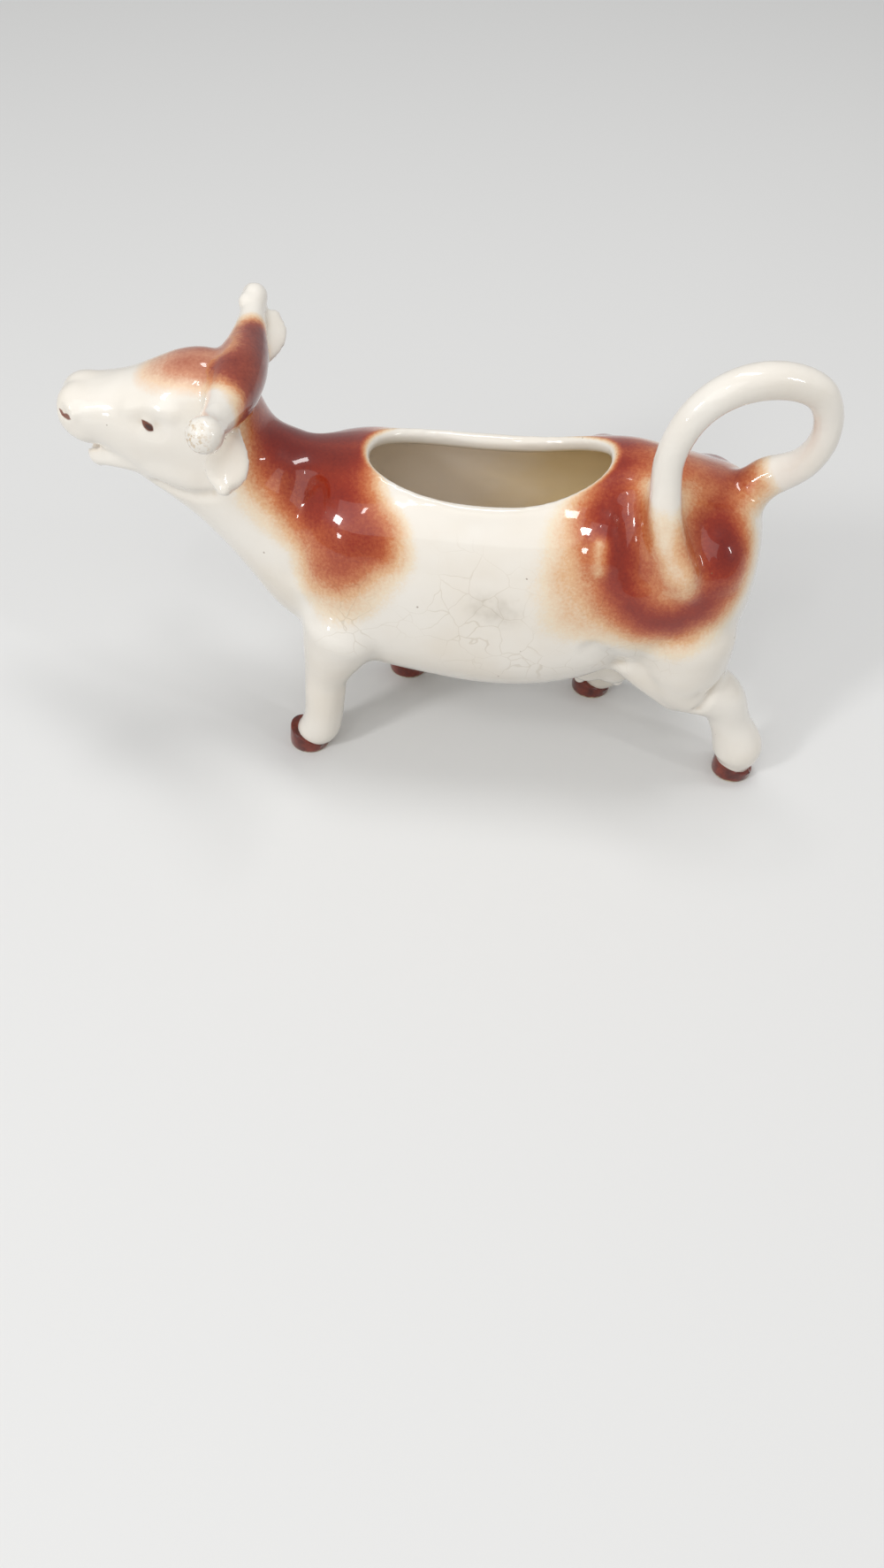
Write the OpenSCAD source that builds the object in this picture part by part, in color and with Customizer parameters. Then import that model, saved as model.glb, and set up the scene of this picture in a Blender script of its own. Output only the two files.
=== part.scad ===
// Cow creamer in glazed earthenware: a walking cow with its head up, hollow from the
// filling mouth in its back to the pouring mouth in its muzzle, with the tail as handle.
// The cow faces -X and its left side is -Y. The hooves stand on z = 0.

/* [Trunk] */
// Length of the trunk from the chest to the buttocks
trunk_l = 120; // [108:1:134]
// Width of the barrel at its widest
trunk_w = 52; // [46:1:58]
// Height of the back line above the table
back_h = 88.5; // [82:0.5:96]
// Height of the belly above the table
belly_h = 23; // [19:0.5:27]
// Thickness of the cast wall
wall = 3.4; // [2.6:0.1:4.2]

/* [Filling mouth] */
// Length of the filling mouth between the crests of its rim
fill_l = 61; // [52:1:68]
// Width of the filling mouth between the crests of its rim
fill_w = 29.5; // [24:0.5:33]
// How far the mouth's middle lies in front of the trunk's middle
fill_forward = 7.8; // [4:0.2:11]
// Thickness of the rounded rim
rim_d = 4.3; // [3.8:0.1:5.6]

/* [Neck and head] */
// How far the muzzle reaches in front of the chest
head_reach = 49; // [44:1:56]
// Height of the poll above the table
poll_h = 107; // [100:0.5:114]
// Width of the neck where it leaves the shoulders
neck_w = 38; // [34:0.5:42]
// Width of the head at the cheeks
head_w = 26; // [23:0.5:29]
// Width of the pouring mouth
spout_w = 10.4; // [8:0.2:12]
// Height of the pouring mouth
spout_h = 6; // [5:0.2:7]

/* [Horns and ears] */
// Distance between the tips of the horns
horn_span = 61.8; // [54:0.5:70]
// Thickness of a horn at its root
horn_d = 11; // [9:0.2:12.5]
// Length of an ear
ear_l = 17.5; // [15:0.5:21]
// Width of an ear
ear_w = 10.4; // [8.4:0.2:12]
// Thickness of an ear
ear_t = 3.6; // [3:0.2:4.6]
// How far the left ear hangs below the level
left_droop = 19; // [10:1:28]
// How far the right ear hangs below the level
right_droop = -19; // [-24:1:20]

/* [Tail handle] */
// How far the tail reaches behind the buttocks
tail_reach = 10; // [7:0.5:14]
// Height of the tail's loop above the back line
tail_rise = 32.5; // [26:0.5:38]
// Length of the tail's loop
tail_l = 42; // [37:0.5:48]
// Thickness of the tail
tail_d = 7.6; // [6:0.2:9]

/* [Legs] */
// Thickness of a leg above the hoof
leg_d = 10; // [8.5:0.1:11.5]
// Distance between the front hooves across the cow
front_track = 32.2; // [28:0.2:36]
// Distance between the hind hooves across the cow
hind_track = 27.8; // [25:0.2:32]
// Step of the front legs, hoof to hoof along the cow
front_stride = 24; // [18:0.5:28]
// Step of the hind legs, hoof to hoof along the cow
hind_stride = 39.1; // [32:0.5:44]
// Diameter of a hoof
hoof_d = 10.6; // [9.6:0.1:12]
// Height of a hoof at its middle
hoof_h = 4.4; // [3.8:0.1:5.2]
// Slope of the glaze line that ends the hoof, low at the heel
hoof_slope = 24; // [12:1:28]

/* [Hidden] */

cream = "#f1e6d6";
brick = "#8b3a22";
half_l = trunk_l / 2;
half_w = trunk_w / 2;
depth = back_h - belly_h;
// the whole cow is moved along X so that its origin is below the middle of its length
centre_x = (head_reach - tail_reach) / 2;
left = -1;
right = 1;

// Cross-sections of the trunk from the buttocks to the shoulders, one row each:
// low x, high x (of half the length), low z, high z (of the depth), half-width, height of
// the widest line within the section, and squareness of the section.
trunk_shares = [
    [0.970, 0.978, 0.46, 0.74, 0.28, 0.50, 2.2],
    [0.950, 0.962, 0.38, 0.84, 0.50, 0.50, 2.3],
    [0.905, 0.925, 0.30, 0.91, 0.69, 0.52, 2.4],
    [0.84, 0.86, 0.24, 0.96, 0.83, 0.54, 2.5],
    [0.72, 0.74, 0.20, 1.00, 0.92, 0.54, 2.5],
    [0.58, 0.60, 0.165, 1.03, 0.96, 0.52, 2.5],
    [0.45, 0.46, 0.115, 1.04, 0.95, 0.50, 2.4],
    [0.30, 0.30, 0.055, 1.005, 0.97, 0.46, 2.3],
    [0.10, 0.10, 0.01, 0.985, 1.00, 0.43, 2.2],
    [-0.12, -0.12, 0.00, 0.98, 1.00, 0.43, 2.2],
    [-0.34, -0.34, 0.02, 0.98, 0.98, 0.45, 2.2],
    [-0.54, -0.52, 0.05, 0.975, 0.95, 0.47, 2.2],
    [-0.72, -0.65, 0.09, 0.965, 0.90, 0.50, 2.2]];
// The same for the neck and the head: x of the reach in front of the chest, z of the
// poll's height, half-width of half the neck's width and then of half the head's width.
neck_shares = [
    [-0.14, -0.20, 0.325, 0.800, 0.99, 0.50, 2.1],
    [0.00, -0.12, 0.375, 0.812, 0.88, 0.50, 2.1],
    [0.12, -0.02, 0.455, 0.835, 0.79, 0.50, 2.1],
    [0.25, 0.02, 0.535, 0.872, 0.72, 0.50, 2.1]];
head_shares = [
    [0.395, 0.06, 0.610, 0.926, 1.00, 0.50, 2.1],
    [0.52, 0.14, 0.660, 0.980, 0.99, 0.50, 2.1],
    [0.62, 0.26, 0.695, 1.006, 0.95, 0.50, 2.1],
    [0.69, 0.40, 0.725, 0.998, 0.90, 0.50, 2.1],
    [0.75, 0.54, 0.752, 0.970, 0.80, 0.50, 2.1],
    [0.82, 0.67, 0.778, 0.944, 0.72, 0.50, 2.1],
    [0.88, 0.79, 0.796, 0.930, 0.69, 0.50, 2.2],
    [0.94, 0.89, 0.812, 0.920, 0.66, 0.50, 2.2],
    [0.98, 0.965, 0.830, 0.902, 0.54, 0.50, 2.1],
    [1.00, 0.998, 0.848, 0.880, 0.28, 0.50, 2.0]];

// The bones that show on each side of the rump, the hip first, as balls just under the
// skin: x (of half the length), y (of half the width), z (of the depth) and radius (of half
// the width).
hip_shares = [[0.320, 0.530, 0.832, 0.27], [0.325, 0.640, 0.752, 0.27]];
pin_shares = [[0.758, 0.635, 0.794, 0.27], [0.772, 0.665, 0.740, 0.27]];

// A leg's centreline from the hip to the hoof: x (0 below the hip, 1 at the hoof),
// z (of the hip's height) and thickness (of the leg's).
front_left_shares = [[0.08, 1, 2.25], [0.30, 0.82, 1.76], [0.52, 0.60, 1.16], [0.57, 0.45, 1.06],
                     [0.60, 0.28, 1.00], [0.72, 0.15, 1.08], [0.90, 0.10, 0.96]];
front_right_shares = [[0, 1, 2.1], [0.30, 0.82, 1.65], [0.72, 0.60, 1.20], [1.05, 0.43, 1.06],
                      [1.26, 0.27, 1.00], [1.28, 0.15, 1.08], [1.08, 0.10, 0.96]];
hind_left_shares = [[0.14, 1, 2.46], [0.18, 0.825, 2.22], [0.25, 0.68, 1.78], [0.655, 0.56, 1.30],
                    [0.83, 0.39, 1.08], [0.99, 0.20, 1.34], [1.00, 0.11, 1.04]];
hind_right_shares = [[0, 1, 2.2], [-0.17, 0.79, 1.90], [-0.15, 0.60, 1.45], [0.13, 0.42, 1.08],
                     [0.45, 0.27, 1.00], [0.72, 0.17, 1.12], [0.90, 0.11, 0.96]];
front_hip_x_share = -0.667;
hind_hip_x_share = 0.68;
front_feet_x_share = -0.667;
hind_feet_x_share = 0.744;
front_hip_z_share = 0.33;
hind_hip_z_share = 0.39;

// The tail's centreline from the rump over the loop and down the left haunch: x forward of
// the loop's rear (of its length), z above the back (of its rise), y to the left (of half
// the trunk's width) and thickness (of the tail's).
tail_shares = [[0.42, -0.30, 0.00, 1.50], [0.30, -0.11, 0.00, 1.35], [0.17, 0.02, 0.06, 1.12],
               [0.07, 0.18, 0.14, 0.98], [0.01, 0.40, 0.19, 0.90], [0.02, 0.63, 0.21, 0.90],
               [0.11, 0.84, 0.24, 0.98], [0.29, 0.96, 0.30, 1.06], [0.51, 1.00, 0.39, 1.10],
               [0.71, 0.95, 0.48, 1.06], [0.87, 0.80, 0.54, 1.00], [0.97, 0.58, 0.58, 0.96],
               [1.02, 0.35, 0.62, 0.94], [1.03, 0.12, 0.68, 0.96], [1.01, -0.10, 0.78, 0.98],
               [0.94, -0.32, 0.85, 0.96], [0.84, -0.52, 0.90, 0.86]];

// A horn's centreline: y (of half the span), x forward, z up (of the horn's root
// thickness) and thickness (of the root's).
horn_shares = [[0.22, 0.00, 0.00, 1.06], [0.36, 0.00, 0.03, 0.94], [0.52, 0.02, 0.09, 0.78],
               [0.68, 0.05, 0.18, 0.65], [0.80, 0.08, 0.25, 0.60], [0.89, 0.10, 0.30, 0.64],
               [0.94, 0.11, 0.33, 0.66]];
horn_x_share = 0.125;
horn_z_share = 0.958;

// An ear from its root to its tip: place along it (of its length) and width (of its width).
ear_shares = [[0.00, 0.42], [0.13, 0.55], [0.27, 0.76], [0.42, 0.92], [0.56, 1.00],
              [0.69, 0.97], [0.80, 0.83], [0.89, 0.60], [0.94, 0.36]];
ear_x_share = 0.12;
ear_z_share = 0.905;
ear_y_share = 0.92;
ear_lag = 8;
ear_twist = 12;
ear_dish_share = 0.36;
ear_dish_y_share = 0.56;
ear_dish_z_share = 0.62;

// The lower jaw from the throat to the chin: x and z as in the head, half-width of half the
// head's width, half-height of the pouring mouth's height.
jaw_shares = [[0.62, 0.770, 0.70, 0.95], [0.72, 0.766, 0.62, 0.70], [0.79, 0.759, 0.54, 0.52],
              [0.845, 0.757, 0.47, 0.45]];
spout_z_share = 0.782;
spout_back_share = 0.60;

// The udder's quarters and teats below the belly
udder_r_share = 0.64;
udder_r = leg_d * udder_r_share;
udder_x_share = 0.42;
udder_gap_share = 0.52;
teat_share = 0.26;
teat_gap_share = 0.78;
teat_drop_share = 0.90;
udder_sink_share = -0.20;
udder_x = udder_x_share * half_l;

// Points between the rows of a table, on a smooth curve through them
function between(p, i, t) =
    let (n = len(p), a = p[max(i - 1, 0)], b = p[i], c = p[min(i + 1, n - 1)],
         d = p[min(i + 2, n - 1)])
    (2 * b + (c - a) * t + (2 * a - 5 * b + 4 * c - d) * t * t
     + (3 * b - a - 3 * c + d) * t * t * t) / 2;
function smooth(p, steps, phase = 0) =
    concat([for (i = [0:len(p) - 2], j = [0:steps - 1]) between(p, i, (j + phase) / steps)],
           [p[len(p) - 1]]);

// Sections in millimetres: low x, low z, high x, high z, half-width, widest line, squareness
function trunk_row(s) = [s[0] * half_l, belly_h + s[2] * depth, s[1] * half_l,
                         belly_h + s[3] * depth, s[4] * half_w, s[5], s[6]];
function fore_row(s, w) = [-half_l - s[0] * head_reach, s[2] * poll_h,
                           -half_l - s[1] * head_reach, s[3] * poll_h, s[4] * w / 2, s[5], s[6]];
section_steps = 2;
section_rows = concat([for (s = trunk_shares) trunk_row(s)],
                      [for (s = neck_shares) fore_row(s, neck_w)],
                      [for (s = head_shares) fore_row(s, head_w)]);
sections = smooth(section_rows, section_steps);
// the neck begins at its first row, and the head at its own
shoulder = len(trunk_shares) * section_steps;
joint = shoulder + len(neck_shares) * section_steps;
function sections_from(first, last) = [for (i = [first:last]) sections[i]];
// the hollow follows the same curves one wall inside them, with its rings half a step on,
// so that none lies in a joint, and it stops in the muzzle
muzzle_rows = 4;
muzzle_end = len(sections) - 2 - muzzle_rows * section_steps;
hollow_curve = smooth(section_rows, section_steps, 0.5);
hollow_sections = [for (i = [1:muzzle_end]) hollow_curve[i]];

// One section as a ring of points, one wall or none inside the outside
function ring(row, n, inset = 0) =
    let (dx = row[2] - row[0], dz = row[3] - row[1], h = norm([dx, dz]), ux = dx / h,
         uz = dz / h, low = row[5] * h - inset, high = (1 - row[5]) * h - inset,
         w = row[4] - inset, q = 2 / row[6],
         shift = inset * max(0, row[0] / half_l),
         cx = row[0] + row[5] * dx - shift, cz = row[1] + row[5] * dz)
    [for (k = [0:n - 1])
        let (a = 360 * k / n, s = sin(a), c = cos(a),
             u = sign(s) * pow(abs(s), q) * (s < 0 ? low : high))
        [cx + ux * u, w * sign(c) * pow(abs(c), q), cz + uz * u]];

// Height of the back's outside at a place beside the middle line
back_tops = [for (i = [joint:-1:0]) [sections[i][2], sections[i][3]]];
back_waists = [for (i = [joint:-1:0])
    [sections[i][2], sections[i][1] + sections[i][5] * (sections[i][3] - sections[i][1])]];
back_widths = [for (i = [joint:-1:0]) [sections[i][2], sections[i][4]]];
back_squares = [for (i = [joint:-1:0]) [sections[i][2], sections[i][6]]];
function back_z(x, y) =
    let (top = lookup(x, back_tops), mid = lookup(x, back_waists),
         w = lookup(x, back_widths), n = lookup(x, back_squares))
    mid + (top - mid) * pow(max(0, 1 - pow(abs(y) / w, n)), 1 / n);

// Height of the belly's outside on the middle line
belly_lows = [for (i = [joint:-1:0]) [sections[i][0], sections[i][1]]];
function belly_z(x) = lookup(x, belly_lows);

// The crest line of the filling mouth's rim, an oval that rides on the back
rim_steps = 38;
rim_sides = 8;
rim_proud_share = 0.12;
rim_proud = rim_d * rim_proud_share;
function oval(a, grow = 0) = [-fill_forward + (fill_l / 2 + grow) * cos(a),
                              (fill_w / 2 + grow) * sin(a)];
function back_square(x, y) =
    let (d = rim_d / 4, slope_x = (back_z(x + d, y) - back_z(x - d, y)) / (2 * d),
         slope_y = (back_z(x, y + d) - back_z(x, y - d)) / (2 * d), n = [-slope_x, -slope_y, 1])
    n / norm(n);
function rim_point(a) = let (p = oval(a))
    [p.x, p.y, back_z(p.x, p.y)] - (rim_d / 2 - rim_proud) * back_square(p.x, p.y);

// A skin through rings of points
module loft(rings) {
    n = len(rings[0]);
    m = len(rings);
    polyhedron(points = [for (r = rings) each r], convexity = 10,
        faces = concat(
            [[for (k = [n - 1:-1:0]) k]],
            [[for (k = [0:n - 1]) (m - 1) * n + k]],
            [for (i = [0:m - 2], k = [0:n - 1]) [i * n + k, i * n + (k + 1) % n,
                                                (i + 1) * n + (k + 1) % n]],
            [for (i = [0:m - 2], k = [0:n - 1]) [i * n + k, (i + 1) * n + (k + 1) % n,
                                                (i + 1) * n + k]]));
}

// A limb: balls along a centreline of [x, y, z, radius] rows, each joined to the next
module limb(balls, sides) {
    for (i = [0:len(balls) - 2])
        hull() {
            translate([balls[i][0], balls[i][1], balls[i][2]])
                sphere(r = balls[i][3], $fn = sides);
            translate([balls[i + 1][0], balls[i + 1][1], balls[i + 1][2]])
                sphere(r = balls[i + 1][3], $fn = sides);
        }
}

cast_sides = 28;
hollow_sides = 22;
module barrel_form() { loft([for (s = sections_from(0, shoulder)) ring(s, cast_sides)]); }

module neck_form() { loft([for (s = sections_from(shoulder, joint)) ring(s, cast_sides)]); }

// the barrel and the neck as one solid, to cut back what is luted to them
module trunk_form() { loft([for (s = sections_from(0, joint)) ring(s, cast_sides)]); }

module hollow_form() { loft([for (s = hollow_sections) ring(s, hollow_sides, wall)]); }

module fill_cut() {
    translate([0, 0, back_h - fill_w])
        linear_extrude(height = 2 * fill_w)
            polygon([for (i = [0:rim_steps - 1]) oval(360 * i / rim_steps)]);
}

// The rounded rim, a bead along the oval
module fill_rim() {
    limb([for (i = [0:rim_steps]) let (p = rim_point(360 * i / rim_steps))
        [p.x, p.y, p.z, rim_d / 2]], rim_sides);
}

// the hip and the pin bone of one side, as low swellings of the rump
rump_sides = 14;
module rump_bones(side) {
    for (shares = [hip_shares, pin_shares])
        limb([for (s = shares) [s[0] * half_l, side * s[1] * half_w, belly_h + s[2] * depth,
                                s[3] * half_w]], rump_sides);
}

module body_shell() {
    color(cream) {
        difference() {
            union() {
                barrel_form();
                rump_bones(left);
                rump_bones(right);
            }
            hollow_form();
            fill_cut();
        }
        fill_rim();
    }
}

module neck_shell() {
    color(cream)
        difference() {
            neck_form();
            hollow_form();
        }
}

module head_cast() {
    loft([for (s = sections_from(joint, len(sections) - 1)) ring(s, cast_sides)]);
}

horn_sides = 10;
horn_x = -half_l - horn_x_share * head_reach;
horn_z = horn_z_share * poll_h;
function horn_balls(side) = [for (s = smooth(horn_shares, 2))
    [horn_x - s[1] * horn_d, side * s[0] * horn_span / 2, horn_z + s[2] * horn_d,
     s[3] * horn_d / 2]];

// The ridge across the poll that carries both horns, thickest on the middle line
ridge_ends_share = 0.55;
ridge_middle_share = 0.58;
ridge_steps = 4;
module poll_ridge() {
    limb([for (i = [-ridge_steps:ridge_steps]) let (t = i / ridge_steps,
              r = horn_d * (ridge_middle_share + (ridge_ends_share - ridge_middle_share) * t * t))
        [horn_x, t * horn_shares[0][0] * horn_span / 2, horn_z, r]], 12);
}

module jaw_form() {
    rows = smooth([for (s = jaw_shares)
        [-half_l - s[0] * head_reach, s[1] * poll_h, s[2] * head_w / 2, s[3] * spout_h]], 3);
    for (i = [0:len(rows) - 2])
        hull() {
            jaw_ball(rows[i]);
            jaw_ball(rows[i + 1]);
        }
}

module jaw_ball(row) {
    translate([row[0], 0, row[1]])
        scale([row[3], row[2], row[3]])
            sphere(r = 1, $fn = 12);
}

module head_form() {
    head_cast();
    difference() {
        poll_ridge();
        trunk_form();
    }
}

// The pouring passage, straight out between the lips
module spout_cut() {
    translate([-half_l - spout_back_share * head_reach, 0, spout_z_share * poll_h])
        rotate([0, -90, 0])
            linear_extrude(height = head_reach)
                scale([spout_h / 2, spout_w / 2])
                    circle(r = 1, $fn = 24);
}

module head_shell() {
    color(cream)
        difference() {
            head_form();
            hollow_form();
            spout_cut();
        }
}

// The lower lip and the chin, the floor of the pouring mouth
module lower_jaw() {
    color(cream)
        difference() {
            jaw_form();
            head_cast();
            trunk_form();
            hollow_form();
            spout_cut();
        }
}

module horn(side) {
    color(brick)
        difference() {
            limb(horn_balls(side), horn_sides);
            head_form();
            trunk_form();
        }
}

module ear(side) {
    color(cream)
        difference() {
            translate([-half_l - ear_x_share * head_reach, side * ear_y_share * head_w / 2,
                       ear_z_share * poll_h])
                rotate([-side * (side == left ? left_droop : right_droop), ear_twist, side * -ear_lag])
                    ear_leaf(side);
            head_form();
            trunk_form();
            limb(horn_balls(side), horn_sides);
        }
}

module ear_leaf(side) {
    difference() {
        for (i = [0:len(ear_shares) - 2])
            hull() {
                leaf_ball(side, ear_shares[i]);
                leaf_ball(side, ear_shares[i + 1]);
            }
        translate([0, side * ear_l * ear_dish_y_share, -ear_t * ear_dish_z_share])
            scale([ear_w * ear_dish_share, ear_l * ear_dish_share, ear_t / 2])
                sphere(r = 1, $fn = 14);
    }
}

module leaf_ball(side, row) {
    translate([0, side * row[0] * ear_l, 0])
        scale([row[1] * ear_w / 2, ear_t / 2, ear_t / 2])
            sphere(r = 1, $fn = 10);
}

tail_sides = 10;
tail_rear_share = 0.45;
tail_top_share = 0.55;
tail_rear_x = half_l + tail_reach - tail_d * tail_rear_share;
tail_path_l = tail_l - tail_d;
tail_path_rise = tail_rise - tail_d * tail_top_share;
function tail_balls() = [for (s = smooth(tail_shares, 2))
    [tail_rear_x - s[0] * tail_path_l, -s[2] * half_w, back_h + s[1] * tail_path_rise,
     s[3] * tail_d / 2]];

module tail_handle() {
    color(cream)
        difference() {
            limb(tail_balls(), tail_sides);
            trunk_form();
        }
}

// The slanted plane between a leg and its hoof, as the space below it
module below_glaze_line(x, y) {
    translate([x, y, hoof_h])
        rotate([0, hoof_slope, 0])
            translate([-2 * hoof_d, -2 * hoof_d, -2 * hoof_d])
                cube([4 * hoof_d, 4 * hoof_d, 2 * hoof_d]);
}

function leg_balls(shares, hip_x, hip_z, foot_x, y) = [for (s = smooth(shares, 2))
    [hip_x + s[0] * (foot_x - hip_x), y, s[1] * hip_z, s[2] * leg_d / 2]];

leg_sides = 13;
module leg(shares, hip_x, hip_z, foot_x, y) {
    color(cream)
        difference() {
            limb(leg_balls(shares, hip_x, hip_z, foot_x, y), leg_sides);
            trunk_form();
            below_glaze_line(foot_x, y);
        }
}

hoof_edge_share = 0.2;
hoof_top_share = 0.92;
module hoof(x, y) {
    r = hoof_d / 2;
    edge = r * hoof_edge_share;
    top = hoof_h + r;
    color(brick)
        intersection() {
            translate([x, y, 0])
                rotate_extrude($fn = 48)
                    polygon(concat([[0, 0]],
                        [for (a = [-90:22.5:0]) [r - edge + edge * cos(a), edge + edge * sin(a)]],
                        [[r, hoof_h], [r * hoof_top_share, top], [0, top]]));
            below_glaze_line(x, y);
        }
}

front_left_x = front_feet_x_share * half_l - front_stride / 2;
front_right_x = front_feet_x_share * half_l + front_stride / 2;
hind_left_x = hind_feet_x_share * half_l + hind_stride / 2;
hind_right_x = hind_feet_x_share * half_l - hind_stride / 2;
front_hip_x = front_hip_x_share * half_l;
hind_hip_x = hind_hip_x_share * half_l;
front_hip_z = belly_h + front_hip_z_share * depth;
hind_hip_z = belly_h + hind_hip_z_share * depth;
front_y = front_track / 2;
hind_y = hind_track / 2;

module front_left_leg() { leg(front_left_shares, front_hip_x, front_hip_z, front_left_x, -front_y); }
module front_right_leg() { leg(front_right_shares, front_hip_x, front_hip_z, front_right_x, front_y); }
module hind_left_leg() { leg(hind_left_shares, hind_hip_x, hind_hip_z, hind_left_x, -hind_y); }
module hind_right_leg() { leg(hind_right_shares, hind_hip_x, hind_hip_z, hind_right_x, hind_y); }
module front_left_hoof() { hoof(front_left_x, -front_y); }
module front_right_hoof() { hoof(front_right_x, front_y); }
module hind_left_hoof() { hoof(hind_left_x, -hind_y); }
module hind_right_hoof() { hoof(hind_right_x, hind_y); }

module udder() {
    gap = udder_gap_share * udder_r;
    teat_gap = teat_gap_share * udder_r;
    color(cream)
        difference() {
            for (sx = [-1, 1], sy = [-1, 1])
                translate([udder_x, 0, belly_z(udder_x) + udder_r * udder_sink_share]) {
                    hull() {
                        translate([sx * gap, sy * gap, 0]) sphere(r = udder_r, $fn = 10);
                        translate([0, 0, udder_r]) sphere(r = udder_r, $fn = 10);
                    }
                    hull() {
                        translate([sx * teat_gap, sy * teat_gap, -udder_r * teat_drop_share])
                            sphere(r = udder_r * teat_share, $fn = 6);
                        translate([sx * gap, sy * gap, 0])
                            sphere(r = udder_r * teat_share, $fn = 6);
                    }
                }
            trunk_form();
        }
}

translate([centre_x, 0, 0]) {
    body_shell();
    neck_shell();
    head_shell();
    lower_jaw();
    horn(left);  // left_horn
    horn(right);  // right_horn
    ear(left);  // left_ear
    ear(right);  // right_ear
    tail_handle();
    udder();
    front_left_leg();
    front_right_leg();
    hind_left_leg();
    hind_right_leg();
    front_left_hoof();
    front_right_hoof();
    hind_left_hoof();
    hind_right_hoof();
}
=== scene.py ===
"""A walking cow creamer in glazed earthenware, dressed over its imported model.

The casting is made the way the potter makes it: the forms of the body, the legs, the tail, the
horns and the ears are luted together, the joins are wetted smooth, the hollow is opened from the
back to the muzzle, and the glaze is sprayed on in soft patches. The one casting is then parted
into the pieces that stand for the model's nodes, along cuts that lie inside the clay.

Every size is in millimetres of the part. MM turns it into metres when a mesh is made.
"""

import logging
import math
from dataclasses import dataclass, field
from enum import Enum
from typing import Iterable, Sequence

import bmesh
import bpy
import numpy as np
from mathutils import Euler, Matrix, Vector
from mathutils.bvhtree import BVHTree
from mathutils.interpolate import poly_3d_calc


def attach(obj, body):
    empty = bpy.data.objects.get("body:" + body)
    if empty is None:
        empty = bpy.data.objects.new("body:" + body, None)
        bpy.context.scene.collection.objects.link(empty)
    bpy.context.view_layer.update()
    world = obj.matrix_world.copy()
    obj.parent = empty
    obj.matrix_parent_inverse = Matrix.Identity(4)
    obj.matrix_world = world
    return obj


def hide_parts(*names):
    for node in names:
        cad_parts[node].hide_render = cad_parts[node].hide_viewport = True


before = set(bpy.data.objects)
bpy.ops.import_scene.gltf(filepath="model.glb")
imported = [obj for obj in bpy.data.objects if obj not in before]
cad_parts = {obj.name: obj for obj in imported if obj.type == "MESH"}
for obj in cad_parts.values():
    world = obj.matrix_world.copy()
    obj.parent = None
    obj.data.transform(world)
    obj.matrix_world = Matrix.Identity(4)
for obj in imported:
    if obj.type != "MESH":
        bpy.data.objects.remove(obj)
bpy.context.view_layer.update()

LOG = logging.getLogger("cow_creamer")
MM = 0.001
LEFT = -1
RIGHT = 1

Row = tuple[float, ...]
Pair = tuple[float, float]
Place = tuple[float, float, float]
Paint = tuple[float, float, float, float]
Stops = tuple[tuple[float, Paint], ...]
Form = bmesh.types.BMesh
Step = tuple[str, dict[str, object]]

# where a limb's rings start from, a little off the axes so that no limb lies along it
UPRIGHT: Place = (0.0, 0.13, 1.0)
LEVEL: Place = (1.0, 0.1, 0.0)
# the rings that dome a limb's end, in degrees from its foot
DOME = (84, 66, 48, 30, 14)
# depth, width and height of the block that parts the casting
KNIFE: Place = (150, 160, 400)


class Slot(Enum):
    """The record's material slots."""

    PATCHED = "patched_glaze"
    HORN = "horn_glaze"
    CREAM = "cream_glaze"
    HOOF = "hoof_glaze"


def round_angles(count: int) -> np.ndarray:
    """Even angles once round a circle."""
    return np.linspace(0, 2 * math.pi, count, endpoint=False)


def soft_step(value: np.ndarray, low: float, high: float) -> np.ndarray:
    """Rises smoothly from 0 at low to 1 at high."""
    t = np.clip((value - low) / (high - low), 0, 1)
    return t * t * (3 - 2 * t)


def row_at(rows: np.ndarray, place: float) -> np.ndarray:
    """Reads a table of rows at a place between two of them, on a smooth curve.

    Args:
        rows: The table, one row a line.
        place: The row's number, whole or between two rows.

    Returns:
        The row at that place.
    """
    last = len(rows) - 1
    i = min(int(place), last - 1)
    t = place - i
    a, b = rows[max(i - 1, 0)], rows[i]
    c, d = rows[i + 1], rows[min(i + 2, last)]
    return (2 * b + (c - a) * t + (2 * a - 5 * b + 4 * c - d) * t * t
            + (3 * b - a - 3 * c + d) * t ** 3) / 2


def smooth_rows(table: Iterable[Row], steps: int, first: float = 0.0,
                last: float | None = None) -> np.ndarray:
    """Fills a table with rows on a smooth curve through the given ones.

    Args:
        table: The rows.
        steps: How many rows stand for each of the given ones.
        first: Where in the table to begin.
        last: Where to end, the last row if left out.

    Returns:
        The finer table.
    """
    rows = np.array(list(table), float)
    end = len(rows) - 1 if last is None else last
    count = max(2, round((end - first) * steps) + 1)
    return np.array([row_at(rows, p) for p in np.linspace(first, end, count)])


@dataclass(frozen=True)
class CowSizes:
    """The sizes of the whole cow, as the model has them."""

    trunk_l: float = 120.0
    trunk_w: float = 52.0
    back_h: float = 88.5
    belly_h: float = 23.0
    wall: float = 3.4
    fill_l: float = 61.0
    fill_w: float = 29.5
    fill_forward: float = 7.8
    rim_d: float = 4.3
    head_reach: float = 49.0
    poll_h: float = 107.0
    neck_w: float = 38.0
    head_w: float = 26.0
    spout_w: float = 10.4
    spout_h: float = 6.0
    horn_span: float = 61.8
    horn_d: float = 11.0
    ear_l: float = 17.5
    ear_w: float = 10.4
    ear_t: float = 3.6
    tail_reach: float = 10.0
    tail_rise: float = 32.5
    tail_l: float = 42.0
    tail_d: float = 7.6
    leg_d: float = 10.0
    front_track: float = 32.2
    hind_track: float = 27.8
    front_stride: float = 24.0
    hind_stride: float = 39.1
    hoof_d: float = 10.6
    hoof_h: float = 4.4
    hoof_slope: float = 24.0

    @property
    def half_l(self) -> float:
        """Half the trunk's length."""
        return self.trunk_l / 2

    @property
    def depth(self) -> float:
        """From the belly to the back."""
        return self.back_h - self.belly_h

    @property
    def centre_x(self) -> float:
        """How far the trunk's middle lies behind the part's origin."""
        return (self.head_reach - self.tail_reach) / 2


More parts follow.
